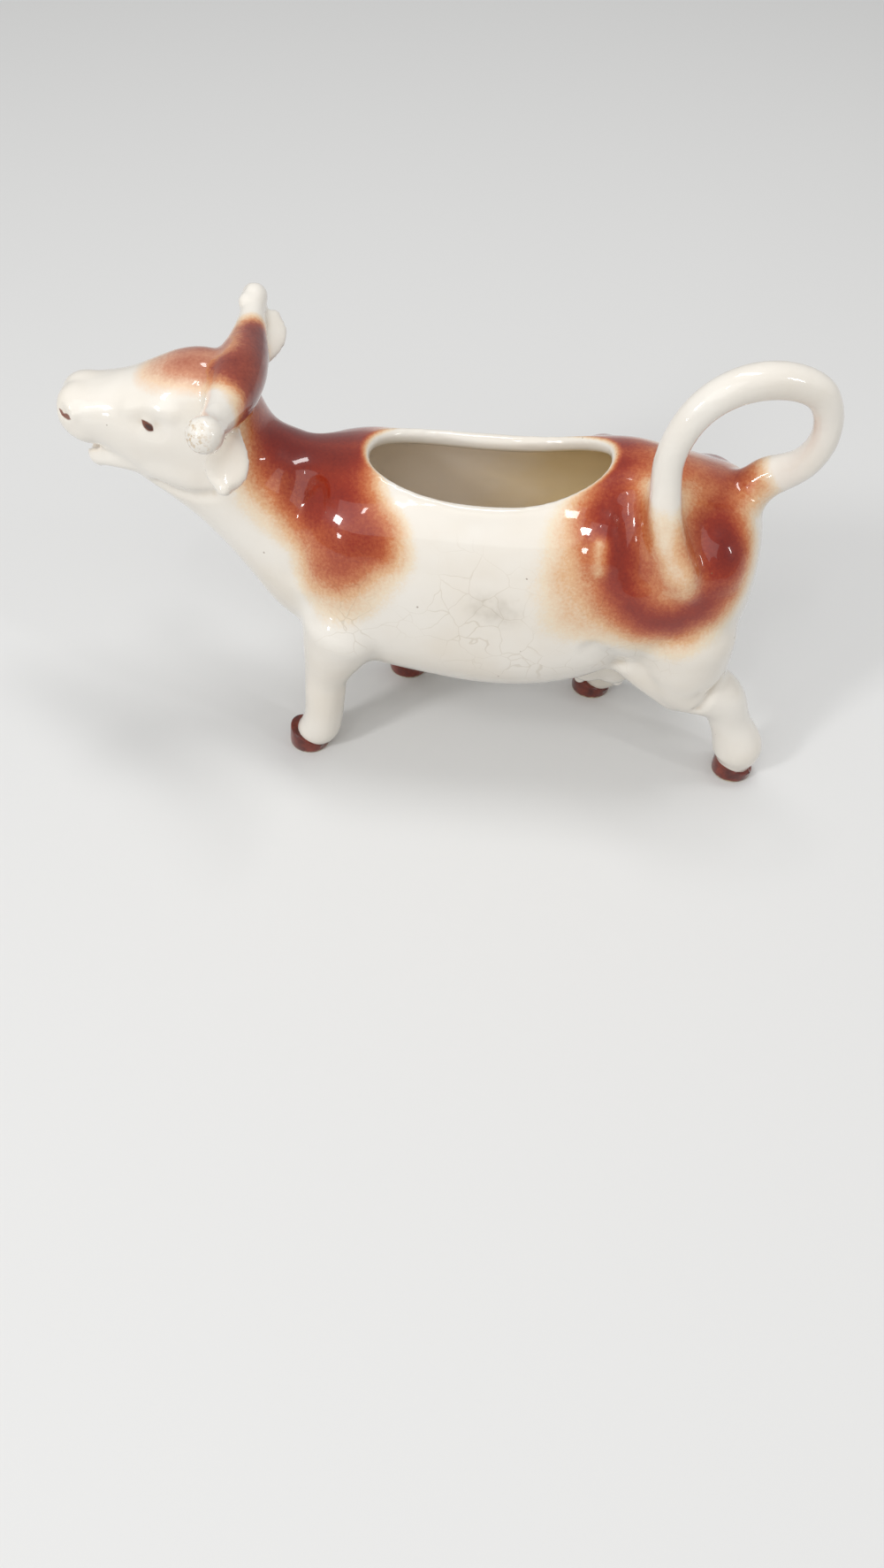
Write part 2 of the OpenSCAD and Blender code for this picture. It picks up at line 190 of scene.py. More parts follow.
def loft(rings: Sequence[np.ndarray]) -> Form:
    """Draws a circle out through rings of points and closes both ends.

    Args:
        rings: Rings of the same number of points, in millimetres.

    Returns:
        The closed form, with its faces outwards.
    """
    bm = bmesh.new()
    count = len(rings[0])
    ring = list(bmesh.ops.create_circle(bm, segments=count, radius=1.0)["verts"])

    def place(points: np.ndarray) -> None:
        """Moves the newest ring to its points."""
        for vert, point in zip(ring, points):
            vert.co = Vector(point) * MM

    def rim() -> list[bmesh.types.BMEdge]:
        """The newest ring's edges."""
        return [bm.edges.get((ring[k], ring[(k + 1) % count])) for k in range(count)]

    place(rings[0])
    ends = rim()
    for points in rings[1:]:
        drawn = bmesh.ops.extrude_edge_only(bm, edges=rim())["geom"]
        twin = {tuple(g.co): g for g in drawn if isinstance(g, bmesh.types.BMVert)}
        ring = [twin[tuple(v.co)] for v in ring]
        place(points)
    bmesh.ops.edgeloop_fill(bm, edges=ends)
    bmesh.ops.edgeloop_fill(bm, edges=rim())
    bmesh.ops.recalc_face_normals(bm, faces=bm.faces)
    return bm


def tube_rings(path: np.ndarray, radii: np.ndarray, sides: int,
               round_ends: bool = True) -> list[np.ndarray]:
    """Works out the rings of a round limb along a path.

    Args:
        path: The centreline.
        radii: The limb's radius at each of its points.
        sides: Points in a ring.
        round_ends: Whether both ends are domed.

    Returns:
        The rings, in order.
    """
    tangent = np.gradient(path, axis=0)
    tangent /= np.linalg.norm(tangent, axis=1)[:, None]
    side = np.cross(tangent[0], UPRIGHT if abs(tangent[0][2]) < 0.9 else LEVEL)
    angles = round_angles(sides)
    stations: list[tuple[np.ndarray, float, np.ndarray, np.ndarray]] = []
    for point, radius, along in zip(path, radii, tangent):
        side = side - along * side.dot(along)
        side = side / np.linalg.norm(side)
        stations.append((point, radius, side, np.cross(along, side)))
    if round_ends:
        dome = np.radians(DOME)
        p, r, u, v = stations[0]
        head = [(p - tangent[0] * r * math.sin(a), r * math.cos(a), u, v) for a in dome]
        p, r, u, v = stations[-1]
        tail = [(p + tangent[-1] * r * math.sin(a), r * math.cos(a), u, v) for a in dome[::-1]]
        stations = head + stations + tail
    return [p + r * (np.outer(np.cos(angles), u) + np.outer(np.sin(angles), v))
            for p, r, u, v in stations]


@dataclass
class Limb:
    """A rounded limb along a smooth path, and the sleeve that parts it from the casting."""

    rows: tuple[Row, ...]
    sides: int = 32
    steps: int = 6
    sleeve_sides: int = 40

    def stations(self) -> np.ndarray:
        """The centreline and the radius: x, y, z and r, in the part's millimetres."""
        return smooth_rows(self.rows, self.steps)

    def form(self) -> Form:
        """The limb with domed ends."""
        rows = self.stations()
        return loft(tube_rings(rows[:, :3], rows[:, 3], self.sides))

    def sleeve(self, first: float, last: float, margin: float, before: float = 0.0,
               after: float = 0.0) -> Form:
        """A wider tube round a stretch of the limb, with square-cut ends.

        Args:
            first: Where it begins, as a row's number.
            last: Where it ends.
            margin: How far it stands off the limb.
            before: How far it goes on straight before its beginning.
            after: How far it goes on straight after its end.

        Returns:
            The sleeve.
        """
        rows = smooth_rows(self.rows, self.steps, first, last)
        for end, beyond in ((0, before), (-1, after)):
            if beyond:
                extra = rows[end].copy()
                way = extra[:3] - rows[1 if end == 0 else -2][:3]
                extra[:3] += way / np.linalg.norm(way) * beyond
                rows = np.insert(rows, 0, extra, 0) if end == 0 else np.vstack([rows, extra])
        return loft(tube_rings(rows[:, :3], rows[:, 3] + margin, self.sleeve_sides,
                               round_ends=False))


@dataclass
class BodyCast:
    """The barrel, the neck and the head, and the hollow inside them.

    Section rows: low x, high x, low z, high z, half-width, height of the widest line and
    squareness, as shares of the trunk, the neck and the head.
    """

    sizes: CowSizes
    sides: int = 72
    steps: int = 6
    crest_sides: int = 96
    cut_sides: int = 64
    bead_sides: int = 12
    spout_sides: int = 40
    jaw_sides: int = 32
    jaw_steps: int = 5
    trunk: tuple[Row, ...] = (
        (0.970, 0.978, 0.46, 0.74, 0.28, 0.50, 2.2), (0.950, 0.962, 0.38, 0.83, 0.50, 0.50, 2.2),
        (0.905, 0.925, 0.30, 0.90, 0.69, 0.52, 2.2), (0.84, 0.86, 0.24, 0.945, 0.83, 0.54, 2.15),
        (0.72, 0.74, 0.20, 0.975, 0.92, 0.54, 2.1), (0.58, 0.60, 0.165, 1.005, 0.96, 0.52, 2.1),
        (0.45, 0.46, 0.115, 1.03, 0.95, 0.50, 2.15), (0.30, 0.30, 0.055, 1.005, 0.97, 0.46, 2.25),
        (0.10, 0.10, 0.01, 0.985, 1.00, 0.43, 2.2), (-0.12, -0.12, 0.00, 0.98, 1.00, 0.43, 2.2),
        (-0.34, -0.34, 0.02, 0.98, 0.98, 0.45, 2.2), (-0.54, -0.52, 0.05, 0.975, 0.95, 0.47, 2.2),
        (-0.72, -0.65, 0.09, 0.965, 0.90, 0.50, 2.2))
    neck: tuple[Row, ...] = (
        (-0.14, -0.20, 0.325, 0.800, 0.99, 0.50, 2.1), (0.00, -0.12, 0.375, 0.812, 0.88, 0.50, 2.1),
        (0.12, -0.02, 0.455, 0.835, 0.79, 0.50, 2.1), (0.25, 0.02, 0.535, 0.872, 0.72, 0.50, 2.1))
    head: tuple[Row, ...] = (
        (0.395, 0.06, 0.610, 0.926, 1.00, 0.50, 2.1), (0.52, 0.14, 0.660, 0.980, 0.99, 0.50, 2.1),
        (0.62, 0.26, 0.695, 1.006, 0.95, 0.50, 2.1), (0.69, 0.40, 0.725, 0.998, 0.90, 0.50, 2.1),
        (0.75, 0.54, 0.752, 0.970, 0.80, 0.50, 2.1), (0.82, 0.67, 0.778, 0.944, 0.72, 0.50, 2.1),
        (0.88, 0.79, 0.796, 0.930, 0.69, 0.50, 2.2), (0.94, 0.89, 0.812, 0.920, 0.66, 0.50, 2.2),
        (0.98, 0.965, 0.830, 0.902, 0.54, 0.50, 2.1), (1.00, 0.998, 0.848, 0.880, 0.28, 0.50, 2.0))
    jaw: tuple[Row, ...] = ((0.62, 0.770, 0.70, 0.95), (0.72, 0.764, 0.62, 0.66),
                            (0.79, 0.758, 0.54, 0.52), (0.845, 0.755, 0.47, 0.47))
    lips: tuple[Pair, ...] = ((0.60, 1.0), (0.72, 0.92), (0.80, 0.78), (0.90, 0.72),
                              (1.4, 0.72))
    # how the outside and the hollow are rounded off at both ends: ring size and reach
    dome: tuple[Pair, ...] = ((0.35, 1.0), (0.62, 0.88), (0.85, 0.55))
    bulge: float = 0.9
    hollow_bulge: float = 0.4
    hollow_span: Pair = (0.75, 21.75)
    mouth_square: float = 2.3
    # the rim: how far it sits up, how far down it goes, how far out, and where the back begins
    rim_lift: float = 0.1
    rim_below: Pair = (-4.5, -1.2)
    rim_beside: Pair = (1.15, 1.35)
    back_from: Pair = (66.0, 70.0)
    spout_z: float = 0.782
    # the lower lip's edge, and where along the jaw it ends
    lip_rise: float = 1.6
    lip_end: float = 0.83
    lip_fade: float = 0.06
    jaw_root: Row = (0.3, 0.75)
    jaw_root_out: float = 0.9
    jaw_tip: tuple[Pair, ...] = ((0.92, 0.4), (0.72, 0.72), (0.35, 0.95))
    # the chin bar's stations: x, y, z and radius
    chin_rows: tuple[Row, ...] = (
        (-81.0, -3.4, 80.7, 2.75), (-81.4, 0, 80.5, 2.75), (-81.0, 3.4, 80.7, 2.75))

    def rows(self) -> np.ndarray:
        """The sections in millimetres: low x, low z, high x, high z, half-width, waist, square.

        Returns:
            One row for each section of the trunk, the neck and the head.
        """
        s = self.sizes
        out = [(r[0] * s.half_l, s.belly_h + r[2] * s.depth, r[1] * s.half_l,
                s.belly_h + r[3] * s.depth, r[4] * s.trunk_w / 2, r[5], r[6]) for r in self.trunk]
        for table, width in ((self.neck, s.neck_w), (self.head, s.head_w)):
            out += [(-s.half_l - r[0] * s.head_reach, r[2] * s.poll_h,
                     -s.half_l - r[1] * s.head_reach, r[3] * s.poll_h, r[4] * width / 2,
                     r[5], r[6]) for r in table]
        return np.array(out)

    def ring(self, row: np.ndarray, inset: float = 0.0, shrink: float = 1.0,
             push: float = 0.0) -> np.ndarray:
        """Draws one section as a ring of points.

        Args:
            row: The section's row.
            inset: How far inside the outside it lies.
            shrink: Its size, as a share of the section.
            push: How far it is moved outwards along the body, at the ends.

        Returns:
            The points.
        """
        low_x, low_z, high_x, high_z, width, waist, square = row
        span = math.hypot(high_x - low_x, high_z - low_z)
        ux, uz = (high_x - low_x) / span, (high_z - low_z) / span
        below, above = waist * span - inset, (1 - waist) * span - inset
        shift = inset * max(0.0, low_x / self.sizes.half_l)
        cx = low_x + waist * (high_x - low_x) - shift + push * uz
        cz = low_z + waist * (high_z - low_z) - push * ux
        angle = round_angles(self.sides)
        sine, cosine = np.sin(angle), np.cos(angle)
        up = np.sign(sine) * np.abs(sine) ** (2 / square) * np.where(sine < 0, below, above)
        across = np.sign(cosine) * np.abs(cosine) ** (2 / square) * (width - inset)
        up, across = up * shrink, across * shrink
        return np.stack([cx + ux * up + self.sizes.centre_x, across, cz + uz * up], axis=1)

    def domed(self, rows: np.ndarray, inset: float, bulge: float) -> list[np.ndarray]:
        """Draws sections as rings and rounds both ends off.

        Args:
            rows: The sections.
            inset: How far inside the outside the rings lie.
            bulge: How far the ends stand out.

        Returns:
            The rings.
        """
        rear = [self.ring(rows[0], inset, size, out * bulge) for size, out in self.dome]
        front = [self.ring(rows[-1], inset, size, -out * bulge)
                 for size, out in reversed(self.dome)]
        return rear + [self.ring(r, inset) for r in rows] + front

    def outside(self) -> Form:
        """The barrel, the neck and the head in one form."""
        return loft(self.domed(smooth_rows(self.rows(), self.steps), 0.0, self.bulge))

    def hollow(self) -> Form:
        """The hollow, one wall inside the outside."""
        rows = smooth_rows(self.rows(), self.steps, *self.hollow_span)
        return loft(self.domed(rows, self.sizes.wall, self.hollow_bulge))

    def crest(self, count: int) -> np.ndarray:
        """The crest line of the filling mouth's rim.

        Args:
            count: Points round it.

        Returns:
            The points, on the body's outside.
        """
        s = self.sizes
        turn = round_angles(count)
        along, across = (np.sign(w) * np.abs(w) ** (2 / self.mouth_square)
                         for w in (np.cos(turn), np.sin(turn)))
        x, y = -s.fill_forward + s.fill_l / 2 * along, s.fill_w / 2 * across
        return np.array([(a + s.centre_x, b, self.back_z(a, b)) for a, b in zip(x, y)])

    def under_rim(self, points: np.ndarray) -> np.ndarray:
        """Tells the rim from the hollow below it.

        Args:
            points: The points, in millimetres.

        Returns:
            0 on the rim, 1 elsewhere.
        """
        side = self.crest(self.crest_sides)[:self.crest_sides // 2 + 1][::-1]
        above = points[:, 2] - np.interp(points[:, 0], side[:, 0], side[:, 2])
        beside = 1 - soft_step(self.mouth_ring(points), *self.rim_beside)
        return 1 - soft_step(above, *self.rim_below) * beside

    def mouth_ring(self, points: np.ndarray) -> np.ndarray:
        """How far points lie from the filling mouth's middle.

        Args:
            points: The points, in millimetres.

        Returns:
            0 in the middle, 1 on the crest of the rim.
        """
        s = self.sizes
        along = np.abs(points[:, 0] - s.centre_x + s.fill_forward) / (s.fill_l / 2)
        across = np.abs(points[:, 1]) / (s.fill_w / 2)
        return (along ** self.mouth_square + across ** self.mouth_square) ** (1 / self.mouth_square)

    def back_z(self, x: float, y: float) -> float:
        """The height of the back's outside.

        Args:
            x: Place along the trunk.
            y: Place across it.

        Returns:
            The height.
        """
        rows = smooth_rows(self.rows(), 4, 0, len(self.trunk) + 1)[::-1]
        top = np.interp(x, rows[:, 2], rows[:, 3])
        waist = np.interp(x, rows[:, 2], rows[:, 1] + rows[:, 5] * (rows[:, 3] - rows[:, 1]))
        width = np.interp(x, rows[:, 2], rows[:, 4])
        square = np.interp(x, rows[:, 2], rows[:, 6])
        return waist + (top - waist) * max(0.0, 1 - abs(y / width) ** square) ** (1 / square)

    def mouth_cut(self) -> Form:
        """The oval plug that opens the filling mouth.

        Returns:
            The plug, half the mouth's width above and below the back.
        """
        crest = self.crest(self.cut_sides)
        low, high = crest.copy(), crest.copy()
        low[:, 2] = self.sizes.back_h - self.sizes.fill_w / 2
        high[:, 2] = self.sizes.back_h + self.sizes.fill_w / 2
        return loft([low, high])

    def rim(self) -> Form:
        """The rounded rim, a bead along the crest line.

        Returns:
            The closed bead.
        """
        crest = self.crest(self.crest_sides)
        radius = self.sizes.rim_d / 2
        middle = crest.mean(axis=0)
        turn = round_angles(self.bead_sides)
        rings = []
        for point in crest:
            out = point - middle
            out[2] = 0
            out /= np.linalg.norm(out)
            down = point - np.array([0, 0, radius - self.rim_lift])
            rings.append(down + radius * (np.outer(np.cos(turn), out)
                                          + np.outer(np.sin(turn), (0, 0, 1))))
        return loft(rings + [rings[0]])

    def spout(self) -> Form:
        """The pouring passage, straight out between the lips.

        Returns:
            The passage's form.
        """
        s = self.sizes
        turn = round_angles(self.spout_sides)
        rings = []
        for share, width in self.lips:
            x = s.centre_x - s.half_l - share * s.head_reach
            rings.append(np.stack([np.full(len(turn), x), width * s.spout_w / 2 * np.cos(turn),
                                   self.spout_z * s.poll_h + s.spout_h / 2 * np.sin(turn)], 1))
        return loft(rings)

    def lower_jaw(self) -> Form:
        """The lower lip and the chin, a flattened limb under the pouring mouth.

        Returns:
            The limb's form.
        """
        s = self.sizes
        rows = smooth_rows(self.jaw, self.jaw_steps)
        turn = round_angles(self.jaw_sides)
        rings = []
        stations = [(rows[0], self.jaw_root_out, size) for size in self.jaw_root]
        stations += [(row, 0.0, 1.0) for row in rows]
        stations += [(rows[-1], -out, size) for size, out in self.jaw_tip]
        for row, out, size in stations:
            half_h = row[3] * s.spout_h
            x = s.centre_x - s.half_l - row[0] * s.head_reach + out * half_h
            rise = self.lip_rise * min(1.0, max(0.0, (self.lip_end - row[0]) / self.lip_fade))
            lift = rise * np.maximum(0, np.sin(turn)) * np.abs(np.cos(turn))
            rings.append(np.stack([np.full(len(turn), x),
                                   size * row[2] * s.head_w / 2 * np.cos(turn),
                                   row[1] * s.poll_h + size * (half_h * np.sin(turn) + lift)], 1))
        return loft(rings)

    def chin(self) -> Form:
        """The round end of the chin, a short bar across the cow that touches the muzzle."""
        return Limb(self.chin_rows, sides=28).form()


@dataclass
class Legs:
    """The four legs and where they stand."""

    sizes: CowSizes
    # x (0 below the hip, 1 at the hoof), z (of the hip's height) and thickness (of the leg's)
    front_left: tuple[Row, ...] = (
        (0.08, 1, 2.25), (0.30, 0.82, 1.76), (0.53, 0.60, 1.18), (0.59, 0.45, 1.10),
        (0.64, 0.28, 1.05), (0.74, 0.15, 1.08), (0.90, 0.10, 0.98))
    front_right: tuple[Row, ...] = (
        (0, 1, 2.1), (0.30, 0.82, 1.65), (0.72, 0.60, 1.20), (1.05, 0.43, 1.06),
        (1.26, 0.27, 1.00), (1.28, 0.15, 1.08), (1.08, 0.10, 0.98))
    hind_left: tuple[Row, ...] = (
        (0.14, 1, 2.46), (0.18, 0.825, 2.22), (0.25, 0.68, 1.78), (0.655, 0.56, 1.30),
        (0.83, 0.39, 1.08), (0.99, 0.20, 1.34), (1.00, 0.11, 1.04))
    hind_right: tuple[Row, ...] = (
        (0, 1, 2.2), (-0.17, 0.79, 1.90), (-0.15, 0.60, 1.45), (0.13, 0.42, 1.08),
        (0.45, 0.27, 1.00), (0.72, 0.17, 1.12), (0.90, 0.11, 0.98))
    thigh_front: tuple[Row, ...] = (
        (49.5, -13.0, 40.6, 6.0), (57.0, -13.2, 34.9, 6.6), (64.5, -13.6, 30.0, 7.0))
    front_hip: Pair = (-0.667, 0.33)
    hind_hip: Pair = (0.68, 0.39)
    front_feet: float = -0.667
    hind_feet: float = 0.744
    # where each leg is parted from the casting, as a row's number
    parted_at: float = 1.62
    hind_parted_at: float = 1.75

    def places(self) -> dict[str, tuple[tuple[Row, ...], Pair, float, float]]:
        """Each leg's rows, hip, foot x and y.

        Returns:
            Them by the leg's name.
        """
        s = self.sizes
        front, hind = self.front_feet * s.half_l, self.hind_feet * s.half_l
        return {
            "front_left": (self.front_left, self.front_hip, front - s.front_stride / 2,
                           LEFT * s.front_track / 2),
            "front_right": (self.front_right, self.front_hip, front + s.front_stride / 2,
                            RIGHT * s.front_track / 2),
            "hind_left": (self.hind_left, self.hind_hip, hind + s.hind_stride / 2,
                          LEFT * s.hind_track / 2),
            "hind_right": (self.hind_right, self.hind_hip, hind - s.hind_stride / 2,
                           RIGHT * s.hind_track / 2)}

    def limbs(self) -> dict[str, Limb]:
        """The legs as limbs.

        Returns:
            The limbs, from the hip down to the hoof.
        """
        s = self.sizes
        out = {}
        for name, (rows, hip, foot_x, y) in self.places().items():
            hip_x, hip_z = hip[0] * s.half_l, s.belly_h + hip[1] * s.depth
            out[name] = Limb(tuple((s.centre_x + hip_x + r[0] * (foot_x - hip_x), y, r[1] * hip_z,
                                    r[2] * s.leg_d / 2) for r in rows), sides=40)
        return out

    def stifle(self) -> Limb:
        """The full front of the left thigh, from the flank down to the knee."""
        return Limb(self.thigh_front, sides=28)

    def feet(self) -> dict[str, Pair]:
        """Where each hoof's middle stands."""
        return {name: (self.sizes.centre_x + x, y)
                for name, (_, _, x, y) in self.places().items()}


@dataclass
class TailLoop:
    """The tail that makes the handle, from the rump over the loop to the left haunch."""

    sizes: CowSizes
    # x forward of the loop's rear, z above the back, y to the left and thickness
    rows: tuple[Row, ...] = (
        (0.42, -0.30, 0.00, 1.50), (0.30, -0.11, 0.00, 1.35), (0.17, 0.02, 0.06, 1.12),
        (0.07, 0.18, 0.14, 0.98), (0.01, 0.40, 0.19, 0.90), (0.02, 0.63, 0.21, 0.90),
        (0.11, 0.84, 0.24, 0.98), (0.29, 0.96, 0.30, 1.06), (0.51, 1.00, 0.39, 1.10),
        (0.71, 0.95, 0.48, 1.06), (0.87, 0.80, 0.54, 1.00), (0.97, 0.58, 0.58, 0.96),
        (1.01, 0.35, 0.61, 0.94), (1.00, 0.12, 0.66, 0.98), (0.97, -0.10, 0.745, 1.04),
        (0.905, -0.32, 0.80, 1.14), (0.82, -0.52, 0.83, 1.32), (0.765, -0.62, 0.83, 1.20))
    rear_share: float = 0.45
    top_share: float = 0.55
    parted: Pair = (2.9, 12.4)
    # the web: its rows of the tail, how far in and back it lies, and its share of the thickness
    web_rows: tuple[int, int] = (13, 17)
    web_inset: float = 3.2
    web_back: float = 0.4
    web_share: float = 0.92

    def limb(self) -> Limb:
        """The tail as a limb.

        Returns:
            The limb, from its root to its lower end.
        """
        s = self.sizes
        rear = s.half_l + s.tail_reach - s.tail_d * self.rear_share
        length, rise = s.tail_l - s.tail_d, s.tail_rise - s.tail_d * self.top_share
        return Limb(tuple((s.centre_x + rear - r[0] * length, -r[2] * s.trunk_w / 2,
                           s.back_h + r[1] * rise, r[3] * s.tail_d / 2) for r in self.rows),
                    sides=40)

    def web(self) -> Limb:
        """The clay pressed in between the tail's lower end and the haunch."""
        return Limb(tuple((x + self.web_back, y + self.web_inset, z, r * self.web_share)
                          for x, y, z, r in self.limb().rows[slice(*self.web_rows)]), sides=28)


@dataclass
class HornBar:
    """Both horns and the ridge across the poll that carries them, in one bar."""

    sizes: CowSizes
    # y (of half the span), x forward, z up (of the root's thickness) and thickness
    rows: tuple[Row, ...] = (
        (0.00, 0.00, 0.00, 1.16), (0.22, 0.00, 0.00, 1.08), (0.36, 0.00, 0.03, 0.95),
        (0.52, 0.02, 0.09, 0.78), (0.68, 0.05, 0.18, 0.65), (0.80, 0.08, 0.25, 0.60),
        (0.89, 0.10, 0.30, 0.66), (0.93, 0.11, 0.33, 0.70))
    x_share: float = 0.125
    z_share: float = 0.958
    # how much thicker or thinner the tips are, and how near the tip that begins
    left_knob: float = 1.10
    right_knob: float = 0.86
    knob_power: float = 2.5
    parted_row: float = 2.9

    def limb(self) -> Limb:
        """The bar from the left horn's tip to the right one's.

        Returns:
            The bar as a limb.
        """
        s = self.sizes
        x0 = s.centre_x - s.half_l - self.x_share * s.head_reach
        z0 = self.z_share * s.poll_h

        def row(side: int, r: Row) -> Row:
            """One station of the bar.

            Args:
                side: LEFT or RIGHT.
                r: The station's row.

            Returns:
                Its place and radius.
            """
            knob = self.left_knob if side == LEFT else self.right_knob
            thick = r[3] * (1 + (knob - 1) * (r[0] / self.rows[-1][0]) ** self.knob_power)
            return (x0 - r[1] * s.horn_d, side * r[0] * s.horn_span / 2, z0 + r[2] * s.horn_d,
                    thick * s.horn_d / 2)

        return Limb(tuple([row(LEFT, r) for r in reversed(self.rows)]
                          + [row(RIGHT, r) for r in self.rows[1:]]), sides=36)

    def parted(self, side: int) -> Pair:
        """The stretch of the bar that is one free horn.

        Args:
            side: LEFT or RIGHT.

        Returns:
            Where it begins and ends, as row numbers.
        """
        middle = len(self.rows) - 1
        if side == LEFT:
            return 0.0, middle - self.parted_row
        return middle + self.parted_row, 2.0 * middle


@dataclass
class Ear:
    """A broad oval ear with a dished face."""

    sizes: CowSizes
    side: int
    droop: float
    # place along the ear and width
    rows: tuple[Row, ...] = (
        (0.00, 0.42), (0.13, 0.55), (0.27, 0.76), (0.42, 0.92), (0.56, 1.00), (0.69, 0.97),
        (0.80, 0.83), (0.89, 0.60), (0.94, 0.36))
    x_share: float = 0.12
    z_share: float = 0.905
    y_share: float = 0.92
    lag: float = 8.0
    twist: float = 12.0
    sides: int = 40
    steps: int = 6
    tip_rings: tuple[int, ...] = (20, 40, 60, 80)

    def pose(self) -> Matrix:
        """Where the ear's root lies and how the ear is turned.

        Returns:
            The matrix that puts a leaf there.
        """
        s = self.sizes
        turn = Euler((math.radians(-self.side * self.droop), math.radians(self.twist),
                      math.radians(-self.side * self.lag)), "XYZ").to_matrix().to_4x4()
        root = Vector((s.centre_x - s.half_l - self.x_share * s.head_reach,
                       self.side * self.y_share * s.head_w / 2, self.z_share * s.poll_h))
        return Matrix.Translation(root * MM) @ turn

    def leaf(self, grow: float = 0.0, first: float = 0.0) -> Form:
        """The ear's leaf, or a fuller one to part it from the casting.

        Args:
            grow: How far the fuller leaf stands off the ear.
            first: Where it begins, as a row's number.

        Returns:
            The leaf in its place.
        """
        s = self.sizes
        rows = smooth_rows(self.rows, self.steps, first)
        turn = round_angles(self.sides)
        half_t = s.ear_t / 2
        rings = []
        for share, width in rows:
            half_w = width * s.ear_w / 2 + grow
            rings.append(np.stack([half_w * np.cos(turn),
                                   np.full(self.sides, self.side * share * s.ear_l),
                                   (half_t + grow) * np.sin(turn)], 1))
        tip_w, tip_y = rows[-1][1] * s.ear_w / 2 + grow, rows[-1][0] * s.ear_l
        for angle in np.radians(self.tip_rings):
            rings.append(np.stack([tip_w * math.cos(angle) * np.cos(turn),
                                   np.full(self.sides, self.side * (
                                       tip_y + (half_t + grow) * math.sin(angle))),
                                   (half_t + grow) * math.cos(angle) * np.sin(turn)], 1))
        bm = loft(rings)
        bmesh.ops.transform(bm, matrix=self.pose(), verts=bm.verts)
        return bm


@dataclass
class Udder:
    """Four quarters with a teat each, below the belly."""

    sizes: CowSizes
    x_share: float = 0.42
    belly: float = 26.9
    radius: float = 6.4
    gap: float = 3.3
    sink: float = 0.5
    bag_h: float = 8.0
    teat: float = 1.66
    teat_root: float = 2.0
    teat_flare: float = 1.4
    teat_gap: float = 5.0
    teat_drop: float = 5.8
    voxel: float = 0.5
    fillet: float = 1.0
    sponge: int = 4

    def forms(self) -> list[Form]:
        """The bag and the teats.

        Returns:
            Their forms, which overlap.
        """
        s = self.sizes
        x0 = s.centre_x + self.x_share * s.half_l
        z0 = self.belly + self.sink
        out = []
        for sx in (-1, 1):
            for sy in (-1, 1):
                x, y = x0 + sx * self.gap, sy * self.gap
                out.append(Limb(((x, y, z0 + self.bag_h, self.radius), (x, y, z0, self.radius)),
                                steps=3).form())
                out.append(Limb(((x, y, z0 - self.teat_root, self.teat * self.teat_flare),
                                 (x0 + sx * self.teat_gap, sy * self.teat_gap,
                                  z0 - self.teat_drop, self.teat)), steps=4, sides=20).form())
        return out

    def piece(self) -> bpy.types.Object:
        """The udder with its forms run together.

        Returns:
            The piece.
        """
        udder = placed(merged(self.forms()), "glazed_udder")
        filleted(udder, self.voxel, self.fillet, self.sponge)
        udder.data.shade_smooth()
        return udder


@dataclass
class Hoof:
    """A hoof in dark glaze, cut off slanted above and bare where it stands."""

    sizes: CowSizes
    foot: Pair
    sides: int = 56
    # the profile below the slanted top: how far inside the radius, and the height
    sole: tuple[Pair, ...] = ((1.7, 0.25), (1.35, 0), (0.55, 0), (0.12, 0.35), (0, 1.1), (0, 2.4))
    sole_h: float = 0.25
    top_inset: float = 0.3
    edge: float = 0.55
    toe_flare: float = 0.35
    toe_h: float = 7.0

    def form(self) -> Form:
        """Spins the hoof's profile, cuts the slanted top and rounds it.

        Returns:
            The hoof in its place.
        """
        s = self.sizes
        r = s.hoof_d / 2
        top = s.hoof_h + r
        profile = [(0, self.sole_h), *((r - inside, height) for inside, height in self.sole),
                   (r - self.top_inset, top), (0, top)]
        bm = bmesh.new()
        line = [bm.verts.new((a * MM, 0, b * MM)) for a, b in profile]
        edges = [bm.edges.new(pair) for pair in zip(line, line[1:])]
        bmesh.ops.spin(bm, geom=line + edges, axis=(0, 0, 1), cent=(0, 0, 0),
                       angle=2 * math.pi, steps=self.sides, use_merge=True)
        bmesh.ops.remove_doubles(bm, verts=bm.verts, dist=1e-6)
        slope = math.radians(s.hoof_slope)
        plane = Vector((math.sin(slope), 0, math.cos(slope)))
        cut = bmesh.ops.bisect_plane(bm, geom=bm.verts[:] + bm.edges[:] + bm.faces[:],
                                     plane_co=(0, 0, s.hoof_h * MM), plane_no=plane,
                                     clear_outer=True)["geom_cut"]
        ring = [g for g in cut if isinstance(g, bmesh.types.BMEdge)]
        bmesh.ops.edgeloop_fill(bm, edges=ring)
        bmesh.ops.bevel(bm, geom=ring, offset=self.edge * MM, affect="EDGES", segments=3,
                        profile=0.5, material=-1, offset_type="OFFSET")
        bmesh.ops.recalc_face_normals(bm, faces=bm.faces)
        for vert in bm.verts:
            ahead = max(0.0, -vert.co.x / (r * MM))
            vert.co.x -= self.toe_flare * MM * ahead * max(0.0, 1 - vert.co.z / (self.toe_h * MM))
        bmesh.ops.translate(bm, verts=bm.verts, vec=Vector((self.foot[0], self.foot[1], 0)) * MM)
        return bm

    def piece(self, name: str) -> bpy.types.Object:
        """The hoof as a smooth piece.

        Args:
            name: The piece's name.

        Returns:
            The piece.
        """
        hoof = placed(self.form(), name)
        hoof.data.shade_smooth()
        return hoof


@dataclass(frozen=True)
class Touch:
    """One pull or press of the modelling tool along a short path."""

    path: tuple[Place, ...]
    reach: float
    lift: float
    both: bool = True


@dataclass(frozen=True)
class Spray:
    """One pass of the spray gun along a path, or one wipe of a damp cloth."""

    path: tuple[Place, ...]
    radius: float
    soft: float
    strength: float
    both: bool = True
    wipe: bool = False


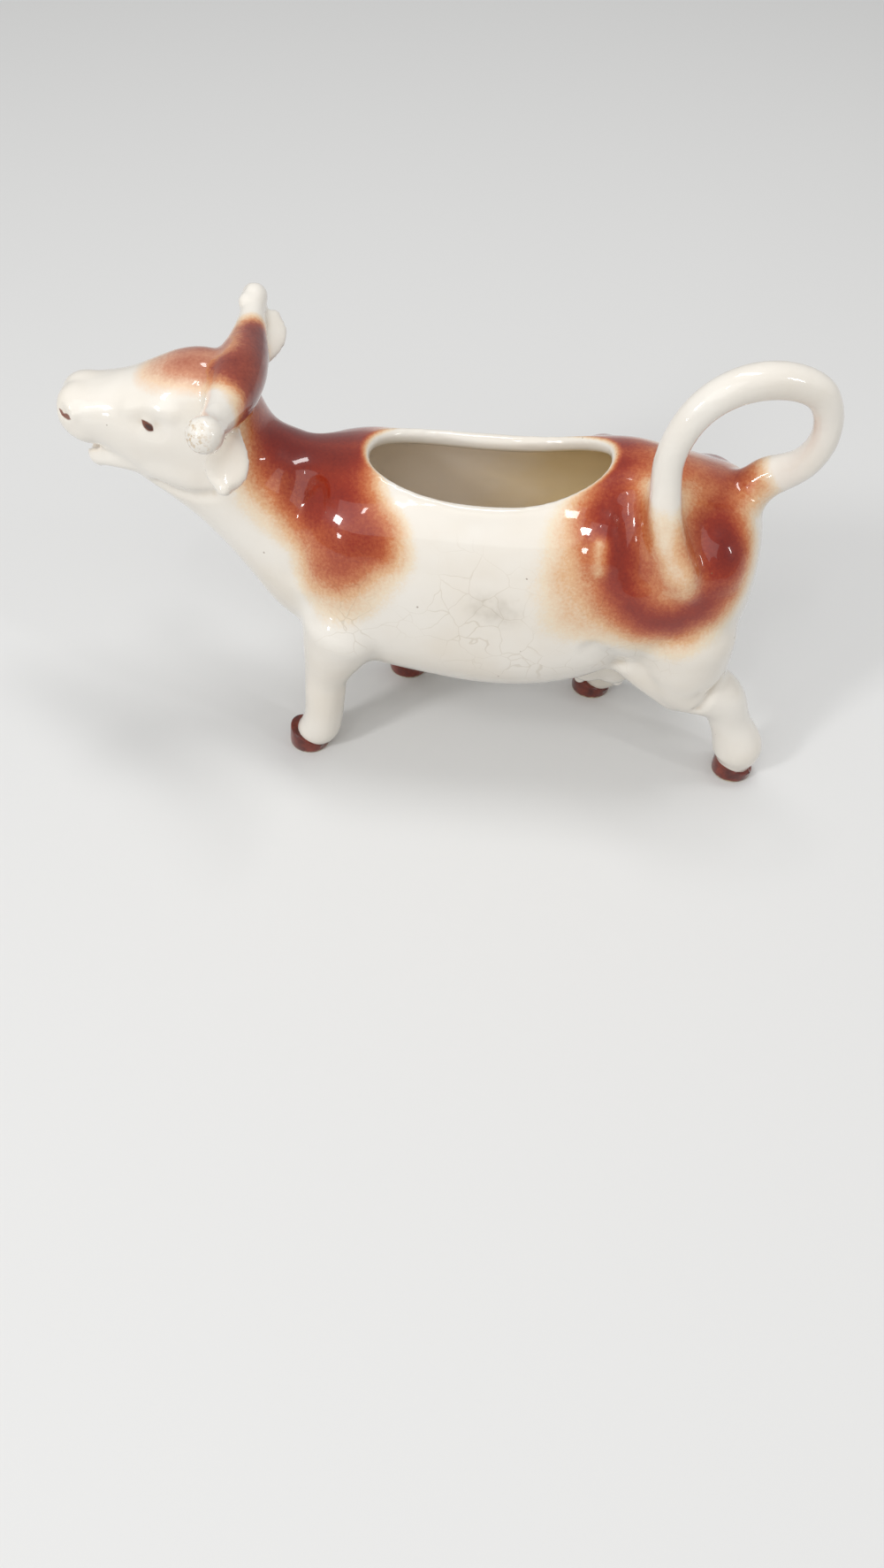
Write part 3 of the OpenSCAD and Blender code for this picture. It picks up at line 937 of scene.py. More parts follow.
def stroke_distance(points: np.ndarray, path: Sequence[Sequence[float]],
                    both: bool) -> np.ndarray:
    """How far points lie from a path.

    Args:
        points: The points, in millimetres.
        path: The path's corners.
        both: Whether the path also runs along the cow's other side.

    Returns:
        The distance of each point.
    """
    corners = np.array(path, float)
    if both:
        points = points.copy()
        points[:, 1] = -np.abs(points[:, 1])
    if len(corners) == 1:
        return np.linalg.norm(points - corners[0], axis=1)
    best = np.full(len(points), 1e9)
    for a, b in zip(corners, corners[1:]):
        along = b - a
        t = np.clip((points - a) @ along / along.dot(along), 0, 1)
        best = np.minimum(best, np.linalg.norm(points - (a + t[:, None] * along), axis=1))
    return best


@dataclass
class Modelling:
    """What the modeller's tool and fingers add to the cast forms."""

    touches: tuple[Touch, ...] = (
        # eye hollow, brow, cheek bone
        Touch(((-66.6, -11.4, 95.9), (-64.8, -11.9, 95.4)), 4.6, -0.80),
        Touch(((-71.0, -9.4, 98.2), (-66.0, -11.2, 99.2), (-60.5, -12.0, 98.8)), 3.4, 0.70),
        Touch(((-66.2, -11.4, 95.8),), 2.0, 0.55),
        Touch(((-70.0, -10.8, 92.0), (-62.0, -12.3, 91.0)), 5.0, 0.30),
        # nostril with its wing behind, and the full round of the muzzle
        Touch(((-87.0, -7.0, 94.9), (-85.6, -8.0, 94.2)), 1.5, -0.60),
        Touch(((-85.2, -7.6, 96.0), (-84.0, -8.5, 94.6)), 2.0, 0.45),
        Touch(((-86.8, -3.5, 97.8),), 6.5, 0.95),
        Touch(((-86.5, -3.0, 89.5), (-83.5, -6.0, 87.8)), 4.8, 0.95),
        Touch(((-80.0, -1.0, 99.0),), 6.0, -0.35),
        # crease under the jaw, and the throat below it
        Touch(((-66.5, -9.4, 78.0), (-61.7, -10.8, 76.6), (-57.0, -12.2, 76.8),
               (-52.5, -13.2, 78.6)), 2.6, -0.75),
        Touch(((-66.0, -10.5, 82.0), (-58.0, -12.6, 81.5)), 4.0, 0.45),
        # shoulder, and the valley between it and the neck
        Touch(((-20.0, -19.0, 75.0),), 15.0, 1.0),
        Touch(((-24.0, -20.5, 62.0),), 13.0, 0.5),
        Touch(((-30.5, -12.0, 81.5), (-33.0, -16.0, 72.0), (-32.5, -19.0, 62.0)), 6.5, -0.95),
        # hip and pin bone
        Touch(((38.6, -18.5, 81.0), (39.0, -21.5, 75.0)), 6.0, 1.2),
        Touch(((67.2, -18.8, 78.0), (68.5, -21.3, 73.0)), 6.5, 1.1),
        # the hollows beside the tail on the left haunch
        Touch(((44.5, -15.0, 86.0), (45.5, -20.5, 79.0), (48.5, -23.5, 71.5)), 5.0, -0.9,
              both=False),
        Touch(((57.5, -15.0, 86.5), (61.0, -21.0, 79.0), (62.5, -23.3, 72.0)), 4.5, -0.7,
              both=False),
        Touch(((56.0, -24.5, 60.0),), 16.0, 0.7),
        # flank fold in front of the thigh, and the crease above the hock
        Touch(((40.0, -23.6, 50.0), (43.5, -22.6, 46.5), (47.5, -19.5, 41.0)), 4.5, -1.1),
        Touch(((73.4, -19.0, 38.5), (71.8, -21.0, 34.0), (69.6, -21.6, 29.0)), 2.4, -0.8,
              both=False),
        # the rump falls away behind the filling mouth
        Touch(((54.0, 15.0, 86.5), (67.0, 12.0, 84.0)), 17.0, -1.4, both=False),
        # the lumpy tip of the right horn
        Touch(((-50.0, 25.0, 107.3),), 2.8, 0.9, both=False),
        Touch(((-46.5, 25.5, 110.5),), 2.0, 0.4, both=False),
        Touch(((-50.2, 28.4, 108.6),), 1.6, -0.4, both=False),
    )
    # where the joins are sponged soft: the tail's tip on the haunch and the tail's root
    soft_joins: tuple[Touch, ...] = (
        Touch(((50.5, -22.5, 86.0), (54.0, -25.0, 79.0), (58.0, -25.5, 72.5)), 8.5, 1.0,
              both=False),
        Touch(((48.5, -19.0, 94.0),), 7.0, 0.7, both=False),
        Touch(((74.0, -2.0, 85.0),), 9.0, 0.7, both=False),
    )

    def apply(self, points: np.ndarray, normals: np.ndarray, outer: np.ndarray) -> np.ndarray:
        """Moves the skin.

        Args:
            points: The skin's vertices, in millimetres.
            normals: Their normals.
            outer: 1 on the outside, 0 in the hollow.

        Returns:
            The moved vertices.
        """
        moved = points.copy()
        for touch in self.touches:
            weight = self.weight(points, touch) * outer
            moved += (touch.lift * weight)[:, None] * normals
        return moved

    @staticmethod
    def weight(points: np.ndarray, touch: Touch) -> np.ndarray:
        """How much of a touch each point feels, from 0 to 1."""
        distance = stroke_distance(points, touch.path, touch.both)
        return (1 - np.clip(distance / touch.reach, 0, 1) ** 2) ** 2


@dataclass
class Spraying:
    """Where the red-brown glaze is sprayed and where it is wiped off."""

    patches: tuple[Spray, ...] = (
        # nape, neck and shoulder
        Spray(((-42, 0, 95), (-38, 0, 88), (-32, 0, 86), (-25, 0, 86), (-18.5, 0, 87)),
              7.5, 6.0, 0.60),
        Spray(((-36, -2, 87.5), (-30, -4, 85.8), (-21, -5, 85.4)), 4.5, 4.5, 0.50),
        Spray(((-38, -5, 86), (-30, -10, 82), (-22, -12, 82)), 7.5, 6.5, 0.50),
        Spray(((-36, -11, 82), (-26, -17, 76), (-16, -20.5, 71), (-22, -21, 63)),
              9.0, 8.5, 0.26),
        Spray(((-22, -14, 80.5), (-17, -18.5, 75.5)), 5.5, 6.5, 0.52),
        Spray(((-28, -15.6, 75), (-21, -20, 70), (-14.5, -20, 74)), 6.0, 6.5, 0.42),
        Spray(((-26, -19.5, 65), (-22, -21, 66)), 4.5, 6.0, 0.22),
        # rump
        Spray(((42, -4, 89.5), (38.5, -15, 83), (41.5, -21.5, 75), (44.5, -24, 66.5), (51, -25, 61),
               (58, -24.8, 60.5), (64, -23.8, 64), (67.5, -22, 70), (69.0, -19.5, 77),
               (66, -13, 85.5)), 4.5, 5.5, 0.54),
        Spray(((40, -15, 81), (40, -22, 71), (45, -24, 63), (55, -25, 59), (64, -23, 64),
               (69, -19, 76)), 8.0, 8.0, 0.26),
        Spray(((44, 0, 90.6), (58, 0, 90), (67, 0, 87)), 9.5, 6.0, 0.50),
        Spray(((46, -19, 80), (54, -22, 74), (63, -18, 82)), 8.5, 6.5, 0.42),
        Spray(((44.5, -22, 73), (47.5, -24.4, 66), (53, -25, 61.5), (59, -24.6, 61.5),
               (63.5, -23, 66)), 2.8, 4.5, 0.44),
        Spray(((64, -17, 82), (67.5, -19, 77)), 3.6, 4.5, 0.42),
        Spray(((43, -12, 86), (41, -18, 80.5)), 2.8, 4.0, 0.34),
        Spray(((70, -3, 87), (77, -4, 88)), 4.0, 6.0, 0.26, both=False),
        Spray(((32, -21, 80), (30.5, -25, 70), (33, -26, 59)), 5.0, 8.5, 0.15),
        # wiped pale: the tail's tip on the haunch, the hip bone and the tail's root
        Spray(((48.5, -20.5, 92), (50, -23.0, 87), (52, -25.0, 83)), 1.8, 3.2, 0.72,
              both=False, wipe=True),
        Spray(((53, -25.4, 81), (56.0, -26, 76.5)), 2.4, 3.4, 0.50, both=False, wipe=True),
        Spray(((57.0, -25.8, 76.0), (59.5, -25.8, 72.0)), 3.0, 3.8, 0.38, both=False, wipe=True),
        Spray(((38.6, -20.8, 78.8), (39.2, -23.2, 73.0)), 1.3, 2.4, 0.72, wipe=True),
        Spray(((84, -2.5, 93), (77.5, -1, 89.5)), 3.5, 7.0, 0.75, both=False, wipe=True))
    forehead: tuple[Spray, ...] = (
        Spray(((-62.5, -1, 105), (-58, -2, 107), (-51, -2, 107)), 5.6, 5.4, 0.42),
        Spray(((-57, -3, 106.5), (-51.5, -4, 106.8), (-47.5, -6, 107)), 3.8, 4.2, 0.46))
    horns: tuple[Spray, ...] = (
        Spray(((-45.5, -4, 107), (-43, 2, 107), (-44.5, 11, 106.5)), 5.5, 5.0, 0.60, both=False),
        Spray(((-40.5, -8, 102), (-40.5, 4, 103.5), (-42, 11, 105)), 4.8, 4.6, 0.56, both=False),
        Spray(((-42.5, -10, 105), (-42.5, -15, 104)), 3.0, 5.0, 0.30, both=False),
        Spray(((-47.5, -4, 107.5), (-45.0, -9.5, 107)), 3.2, 3.6, 0.42, both=False),
        Spray(((-51.0, -4, 106.8), (-49.5, -8.5, 106)), 2.6, 3.6, 0.30, both=False),
        Spray(((-41.0, -11, 102), (-42.0, -16, 101)), 2.6, 3.4, 0.50, both=False))

    def density(self, points: np.ndarray, passes: Sequence[Spray]) -> np.ndarray:
        """How thickly the glaze lies on points.

        Args:
            points: The points, in millimetres.
            passes: The passes of gun and cloth, in order.

        Returns:
            0 for none, up to 1.
        """
        clear = np.ones(len(points))
        for spray in passes:
            distance = stroke_distance(points, spray.path, spray.both)
            cover = spray.strength * (1 - soft_step(distance, spray.radius - spray.soft,
                                                    spray.radius + spray.soft))
            if spray.wipe:
                clear = 1 - (1 - clear) * (1 - cover)
            else:
                clear = clear * (1 - cover)
        return 1 - clear


def merged(forms: Iterable[Form]) -> Form:
    """Lays forms together in one mesh, each still whole.

    Args:
        forms: The forms, which are used up.

    Returns:
        The mesh that holds them all.
    """
    out = bmesh.new()
    for form in forms:
        mesh = bpy.data.meshes.new("form")
        form.to_mesh(mesh)
        form.free()
        out.from_mesh(mesh)
        bpy.data.meshes.remove(mesh)
    return out


def placed(form: Form, name: str) -> bpy.types.Object:
    """Makes a form an object of the scene.

    Args:
        form: The form, which is used up.
        name: The object's name.

    Returns:
        The object.
    """
    mesh = bpy.data.meshes.new(name)
    form.to_mesh(mesh)
    form.free()
    obj = bpy.data.objects.new(name, mesh)
    bpy.context.scene.collection.objects.link(obj)
    return obj


def worked(obj: bpy.types.Object, *steps: Step) -> None:
    """Runs modifiers over an object and keeps what they make as its mesh.

    Args:
        obj: The object.
        steps: Each modifier's kind and settings.
    """
    for kind, settings in steps:
        modifier = obj.modifiers.new(kind.title(), kind)
        for key, value in settings.items():
            setattr(modifier, key, value)
    shaped = obj.evaluated_get(bpy.context.evaluated_depsgraph_get())
    mesh = bpy.data.meshes.new_from_object(shaped)
    obj.modifiers.clear()
    old, obj.data = obj.data, mesh
    bpy.data.meshes.remove(old)


def luted(voxel: float) -> Step:
    """The step that turns overlapping forms into one even skin."""
    return "REMESH", {"mode": "VOXEL", "voxel_size": voxel * MM, "adaptivity": 0.0}


def grown(by: float) -> Step:
    """The step that swells a form, or shrinks it."""
    return "DISPLACE", {"strength": by * MM, "mid_level": 0.0, "direction": "NORMAL"}


def sponged(times: int, factor: float = 0.5, group: str = "") -> Step:
    """The step that smooths a skin as a damp sponge does."""
    return "SMOOTH", {"factor": factor, "iterations": times, "vertex_group": group}


def filleted(obj: bpy.types.Object, voxel: float, fillet: float, sponge: int) -> None:
    """Runs overlapping forms together, with the inner corners between them filled.

    Args:
        obj: The object that holds the forms.
        voxel: How fine the skin is, in millimetres.
        fillet: How wide the corners are filled.
        sponge: How often it is sponged after.
    """
    worked(obj, luted(voxel), grown(fillet), luted(voxel), grown(-fillet), sponged(sponge))


def carved(obj: bpy.types.Object, tool: bpy.types.Object, how: str) -> None:
    """Cuts an object with another, or keeps only what they share.

    Args:
        obj: The object that changes.
        tool: The closed form that cuts.
        how: DIFFERENCE or INTERSECT.
    """
    worked(obj, ("BOOLEAN", {"operation": how, "object": tool, "solver": "MANIFOLD"}))


def removed(obj: bpy.types.Object) -> None:
    """Takes an object and its mesh out of the file.

    Args:
        obj: The object.
    """
    mesh = obj.data
    bpy.data.objects.remove(obj)
    bpy.data.meshes.remove(mesh)


def lifted(obj: bpy.types.Object) -> Form:
    """Takes an object out of the file and keeps its form.

    Args:
        obj: The object.

    Returns:
        The form.
    """
    form = bmesh.new()
    form.from_mesh(obj.data)
    removed(obj)
    return form


def copied(obj: bpy.types.Object, name: str) -> bpy.types.Object:
    """Copies an object and its mesh.

    Args:
        obj: The object.
        name: The copy's name.

    Returns:
        The copy.
    """
    copy = bpy.data.objects.new(name, obj.data.copy())
    bpy.context.scene.collection.objects.link(copy)
    return copy


def read(items: bpy.types.bpy_prop_collection, what: str, wide: int = 1,
         kind: type = np.float32) -> np.ndarray:
    """Reads one property of all of a mesh's points, corners or faces.

    Args:
        items: The points, corners or faces, or an attribute's values.
        what: The property.
        wide: How many numbers it holds.
        kind: What kind of number it is.

    Returns:
        The numbers, with a row for each item where it holds more than one.
    """
    flat = np.empty(len(items) * wide, kind)
    items.foreach_get(what, flat)
    return flat.reshape(-1, wide) if wide > 1 else flat


def places(mesh: bpy.types.Mesh) -> np.ndarray:
    """Where every vertex lies, in metres."""
    return read(mesh.vertices, "co", 3).astype(float)


def normals(mesh: bpy.types.Mesh) -> np.ndarray:
    """Every vertex's normal."""
    return read(mesh.vertex_normals, "vector", 3).astype(float)


def kept(mesh: bpy.types.Mesh, name: str) -> np.ndarray:
    """The numbers that a mesh keeps for its vertices under a name."""
    return read(mesh.attributes[name].data, "value")


def keep(mesh: bpy.types.Mesh, name: str, values: np.ndarray) -> None:
    """Keeps one number for each vertex as an attribute."""
    layer = mesh.attributes.get(name) or mesh.attributes.new(name, "FLOAT", "POINT")
    layer.data.foreach_set("value", values.astype(np.float32))


@dataclass
class Casting:
    """The one casting, from the luted forms to the sponged skin."""

    body: BodyCast
    legs: Legs
    tail: TailLoop
    bar: HornBar
    ears: tuple[Ear, Ear]
    modelling: Modelling
    coarse: float = 0.8
    fine: float = 0.75
    fillet: float = 2.2
    sponge: int = 2
    join_sponge: int = 40
    # the flat collar round the rim that is sponged too: how much, and from where to where
    collar: float = 0.9
    collar_from: Pair = (1.0, 1.1)
    collar_to: Pair = (1.3, 1.6)
    # how far from the hollow's form a vertex still counts as inside
    lining: Pair = (0.7, 1.6)
    far: float = 4.0

    def skin(self) -> bpy.types.Object:
        """Builds the casting.

        Returns:
            The whole skin as one object, with what lies inside marked on it.
        """
        body = self.body
        forms = [body.outside(), self.tail.limb().form(), self.tail.web().form(),
                 self.legs.stifle().form()]
        forms += [limb.form() for limb in self.legs.limbs().values()]
        cow = placed(merged(forms), "cow")
        filleted(cow, self.coarse, self.fillet, self.sponge)
        crown = [body.lower_jaw(), body.chin(), self.bar.limb().form(),
                 *(ear.leaf() for ear in self.ears)]
        cow = placed(merged([lifted(cow), *crown]), "cow")
        worked(cow, luted(self.fine))
        hollow = placed(merged([body.hollow(), body.mouth_cut(), body.spout()]), "hollow")
        worked(hollow, luted(self.fine))
        carved(cow, hollow, "DIFFERENCE")
        cow = placed(merged([lifted(cow), body.rim()]), "cow")
        worked(cow, luted(self.fine), sponged(self.sponge))
        self.mark_joins(cow)
        worked(cow, sponged(self.join_sponge, group="joins"))
        cow.vertex_groups.clear()
        self.mark_inside(cow, hollow)
        self.model(cow)
        LOG.info("casting: %d faces", len(cow.data.polygons))
        return cow

    def mark_joins(self, cow: bpy.types.Object) -> None:
        """Marks the joins that the sponge goes over again.

        Args:
            cow: The casting.
        """
        points = places(cow.data) / MM
        ring = self.body.mouth_ring(points)
        weight = self.collar * soft_step(ring, *self.collar_from)
        weight *= 1 - soft_step(ring, *self.collar_to)
        weight *= soft_step(points[:, 2], *self.body.back_from)
        for touch in self.modelling.soft_joins:
            weight = np.maximum(weight, self.modelling.weight(points, touch) * touch.lift)
        group = cow.vertex_groups.new(name="joins")
        for index in np.flatnonzero(weight > 0.01).tolist():
            group.add([index], float(weight[index]), "REPLACE")

    def mark_inside(self, cow: bpy.types.Object, hollow: bpy.types.Object) -> None:
        """Marks how far inside the vessel each vertex lies.

        Args:
            cow: The casting.
            hollow: The form that hollowed it, which is used up.
        """
        form = lifted(hollow)
        tree = BVHTree.FromBMesh(form)
        form.free()
        points = places(cow.data)
        far = self.far * MM
        depth = np.array([tree.find_nearest(Vector(p), far)[3] or far for p in points]) / MM
        keep(cow.data, "inside",
             (1 - soft_step(depth, *self.lining)) * self.body.under_rim(points / MM))

    def model(self, cow: bpy.types.Object) -> None:
        """Presses and pulls the skin as the modeller does.

        Args:
            cow: The casting.
        """
        mesh = cow.data
        moved = self.modelling.apply(places(mesh) / MM, normals(mesh), 1 - kept(mesh, "inside"))
        mesh.vertices.foreach_set("co", (moved * MM).astype(np.float32).ravel())
        mesh.update()


def knife(low: Pair, high: Pair) -> Form:
    """A block in front of a plane across the cow, to part the casting there.

    Args:
        low: A point of the plane in the side view, x and z.
        high: Another one above it.

    Returns:
        The block.
    """
    way = Vector((high[0] - low[0], 0, high[1] - low[1])).normalized()
    ahead = Vector((-way.z, 0, way.x))
    middle = Vector((low[0] + high[0], 0, low[1] + high[1])) / 2
    turn = Matrix((-ahead, (0, 1, 0), way)).transposed().to_4x4()
    deep, wide, tall = KNIFE
    bm = bmesh.new()
    bmesh.ops.create_cube(bm, size=1.0)
    bmesh.ops.transform(bm, verts=bm.verts, matrix=(
        Matrix.Translation((middle + ahead * (deep / 2)) * MM) @ turn
        @ Matrix.Diagonal(Vector((deep, wide, tall, 1 / MM)) * MM)))
    return bm


def block(low: Place, high: Place) -> Form:
    """A block between two corners.

    Args:
        low: Its lowest corner.
        high: Its highest corner.

    Returns:
        The block.
    """
    bm = bmesh.new()
    bmesh.ops.create_cube(bm, size=1.0)
    size = Vector(high) - Vector(low)
    bmesh.ops.scale(bm, verts=bm.verts, vec=size * MM)
    bmesh.ops.translate(bm, verts=bm.verts, vec=(Vector(low) + Vector(high)) / 2 * MM)
    return bm


@dataclass
class Parting:
    """How the one casting is parted into the pieces that stand for the model's nodes."""

    casting: Casting
    margin: float = 1.3
    leg_margin: float = 2.4
    ear_share: float = 0.7
    ear_row: float = 2.4
    # how far the sleeves go on past a horn's tip and a leg's end
    horn_past: float = 6.0
    leg_past: float = 8.0
    neck_plane: tuple[Pair, Pair] = ((-40.5, 40.1), (-34.6, 86.9))
    head_plane: tuple[Pair, Pair] = ((-52.8, 57.2), (-37.5, 88.5))
    jaw_block: tuple[Place, Place] = ((-95.0, -16.0, 70.0), (-73.0, 16.0, 82.6))
    places: list[Vector] = field(init=False)
    faces: list[tuple[int, ...]] = field(init=False)
    near: BVHTree = field(init=False)
    marks: dict[str, np.ndarray] = field(init=False)

    def moulds(self) -> list[tuple[str, Slot, Form]]:
        """The moulds in the order in which they lift their pieces out.

        Returns:
            Each mould with its piece's node and slot.
        """
        c = self.casting
        out = [(node, Slot.CREAM, ear.leaf(self.margin * self.ear_share, self.ear_row))
               for node, ear in zip(("left_ear", "right_ear"), c.ears)]
        for node, side, past in (("left_horn", LEFT, (self.horn_past, 0)),
                                 ("right_horn", RIGHT, (0, self.horn_past))):
            out.append((node, Slot.HORN, c.bar.limb().sleeve(
                *c.bar.parted(side), self.margin, *past)))
        out.append(("tail_handle", Slot.CREAM, c.tail.limb().sleeve(*c.tail.parted, self.margin)))
        for name, limb in c.legs.limbs().items():
            top = c.legs.hind_parted_at if name.startswith("hind") else c.legs.parted_at
            out.append((f"{name}_leg", Slot.CREAM,
                        limb.sleeve(top, len(limb.rows) - 1.0, self.leg_margin, 0,
                                    self.leg_past)))
        out.append(("lower_jaw", Slot.CREAM, block(*self.jaw_block)))
        out.append(("head_shell", Slot.PATCHED, knife(*self.head_plane)))
        out.append(("neck_shell", Slot.PATCHED, knife(*self.neck_plane)))
        return out

    def pieces(self, cow: bpy.types.Object) -> list[tuple[bpy.types.Object, str, Slot]]:
        """Parts the casting.

        Args:
            cow: The whole casting, which becomes the barrel.

        Returns:
            Each piece with its node and slot.
        """
        keep(cow.data, "skin", np.ones(len(cow.data.vertices)))
        own = cow.data.attributes.new("own", "INT", "FACE")
        own.data.foreach_set("value", np.ones(len(cow.data.polygons), np.int32))
        self.remember_normals(cow.data)
        self.remember_skin(cow.data)
        out = []
        for node, slot, form in self.moulds():
            mould = placed(form, "mould")
            piece = copied(cow, f"glazed_{node}")
            carved(piece, mould, "INTERSECT")
            carved(cow, mould, "DIFFERENCE")
            removed(mould)
            out.append((piece, node, slot))
        cow.name = "glazed_body_shell"
        out.append((cow, "body_shell", Slot.PATCHED))
        for piece, _, _ in out:
            piece.data.name = piece.name
            self.mend_edges(piece.data)
            self.smooth_over(piece.data)
        return out

    def remember_skin(self, mesh: bpy.types.Mesh) -> None:
        """Keeps the whole skin's faces and marks, to mend the edges of the cuts from.

        Args:
            mesh: The whole casting's mesh.
        """
        self.places = [Vector(place) for place in places(mesh)]
        self.faces = [tuple(face.vertices) for face in mesh.polygons]
        self.near = BVHTree.FromPolygons(self.places, self.faces)
        self.marks = {}
        for layer in mesh.attributes:
            if layer.domain != "POINT" or layer.data_type not in ("FLOAT", "FLOAT_VECTOR"):
                continue
            if layer.name not in ("position", "skin"):
                what, wide = ("value", 1) if layer.data_type == "FLOAT" else ("vector", 3)
                self.marks[layer.name] = read(layer.data, what, wide).reshape(-1, wide)

    def mend_edges(self, mesh: bpy.types.Mesh) -> None:
        """Gives the points that a cut made the marks that the skin has in their place.

        Args:
            mesh: A piece's mesh.
        """
        for index in np.flatnonzero(kept(mesh, "skin") < 0.999).tolist():
            place, _, face, _ = self.near.find_nearest(mesh.vertices[index].co)
            rows = list(self.faces[face])
            share = np.array(poly_3d_calc([self.places[row] for row in rows], place))
            for name, values in self.marks.items():
                mixed = share @ values[rows]
                item = mesh.attributes[name].data[index]
                if len(mixed) == 3:
                    item.vector = mixed
                else:
                    item.value = mixed[0]

    @staticmethod
    def remember_normals(mesh: bpy.types.Mesh) -> None:
        """Keeps each vertex's normal, so that the cuts don't show."""
        layer = mesh.attributes.new("turned", "FLOAT_VECTOR", "POINT")
        layer.data.foreach_set("vector", normals(mesh).astype(np.float32).ravel())

    @staticmethod
    def smooth_over(mesh: bpy.types.Mesh) -> None:
        """Shades a piece with the normals that the whole casting had, and its cuts flat.

        Args:
            mesh: The piece's mesh.
        """
        mesh.shade_smooth()
        corner = read(mesh.loops, "vertex_index", kind=np.int32)
        turned = read(mesh.attributes["turned"].data, "vector", 3)[corner]
        flat = read(mesh.polygons, "normal", 3)
        face = np.repeat(np.arange(len(flat)), read(mesh.polygons, "loop_total", kind=np.int32))
        cut = read(mesh.attributes["own"].data, "value", kind=np.int32)[face] == 0
        turned[cut] = flat[face][cut]
        turned /= np.maximum(np.linalg.norm(turned, axis=1), 1e-9)[:, None]
        mesh.normals_split_custom_set(turned)


def shade(red: int, green: int, blue: int) -> Paint:
    """A colour as the eye reads it on a screen, made ready for a shader.

    Args:
        red: Its red, from 0 to 255.
        green: Its green.
        blue: Its blue.

    Returns:
        The colour without the screen's curve.
    """
    shares = (part / 255 for part in (red, green, blue))
    return (*(share / 12.92 if share <= 0.04045 else ((share + 0.055) / 1.055) ** 2.4
              for share in shares), 1.0)


@dataclass(frozen=True)
class Clouds:
    """Soft cloudy noise in a glaze.

    The size is that of the clouds, in millimetres. Detail is how many finer layers they have,
    rough is how strong those are, and shift is where in the noise they are taken. As a mask the
    clouds rise over their span. As a relief or a sway they count by their reach.
    """

    size: float
    detail: float
    rough: float
    shift: float
    span: Pair = (0.0, 1.0)
    reach: float = 1.0


@dataclass(frozen=True)
class Cracks:
    """The net of fine cracks in an old glaze.

    The cell is how far the cracks lie apart, in millimetres. The width is a share of it, and the
    core is the share of the width that is darkest.
    """

    cell: float = 7.0
    width: float = 0.018
    core: float = 0.25
    shift: float = 2.0
    # how the cracks wander: in clouds of so many cells, as far as so many cells
    wander_size: float = 1 / 0.45
    wander_reach: float = 1.3
    detail: float = 3.0
    rough: float = 0.6


@dataclass(frozen=True)
class Wash:
    """A colour laid over a glaze, how strongly and in which way of mixing."""

    strength: float
    paint: Paint
    how: str = "MIX"


class Wire:
    """A number socket that Python sums can use."""

    def __init__(self, bench: "Bench", socket: bpy.types.NodeSocket) -> None:
        """Keeps the socket and the bench that it belongs to."""
        self.bench = bench
        self.socket = socket

    def sum(self, operation: str, *terms: "Wire | float", clamp: bool = False) -> "Wire":
        """Adds one Math node.

        Args:
            operation: What the node does.
            terms: Its inputs in order.
            clamp: Whether the result stays between 0 and 1.

        Returns:
            The node's output.
        """
        made = self.bench.node("ShaderNodeMath", {"operation": operation, "use_clamp": clamp},
                               dict(enumerate(terms)))
        return Wire(self.bench, made.outputs[0])

    def __add__(self, other: "Wire | float") -> "Wire":
        """self + other."""
        return self.sum("ADD", self, other)

    __radd__ = __add__

    def __sub__(self, other: "Wire | float") -> "Wire":
        """self - other."""
        return self.sum("SUBTRACT", self, other)

    def __rsub__(self, other: "Wire | float") -> "Wire":
        """other - self."""
        return self.sum("SUBTRACT", other, self)

    def __mul__(self, other: "Wire | float") -> "Wire":
        """self * other."""
        return self.sum("MULTIPLY", self, other)

    def __truediv__(self, other: "Wire | float") -> "Wire":
        """self / other."""
        return self.sum("DIVIDE", self, other)

    def __pow__(self, other: "Wire | float") -> "Wire":
        """self ** other."""
        return self.sum("POWER", self, other)

    def __abs__(self) -> "Wire":
        """The size of self, without its sign."""
        return self.sum("ABSOLUTE", self)

    def clamped(self) -> "Wire":
        """self, kept between 0 and 1."""
        return self.sum("ADD", self, 0.0, clamp=True)

    def between(self, low: float, high: float) -> "Wire":
        """Rises smoothly from 0 to 1, and falls where high is below low.

        Args:
            low: Where it is 0.
            high: Where it is 1.

        Returns:
            The curve.
        """
        made = self.bench.node("ShaderNodeMapRange", {"interpolation_type": "SMOOTHSTEP"},
                               {"Value": self, "From Min": min(low, high),
                                "From Max": max(low, high), "To Min": float(low >= high),
                                "To Max": float(low < high)})
        return Wire(self.bench, made.outputs[0])


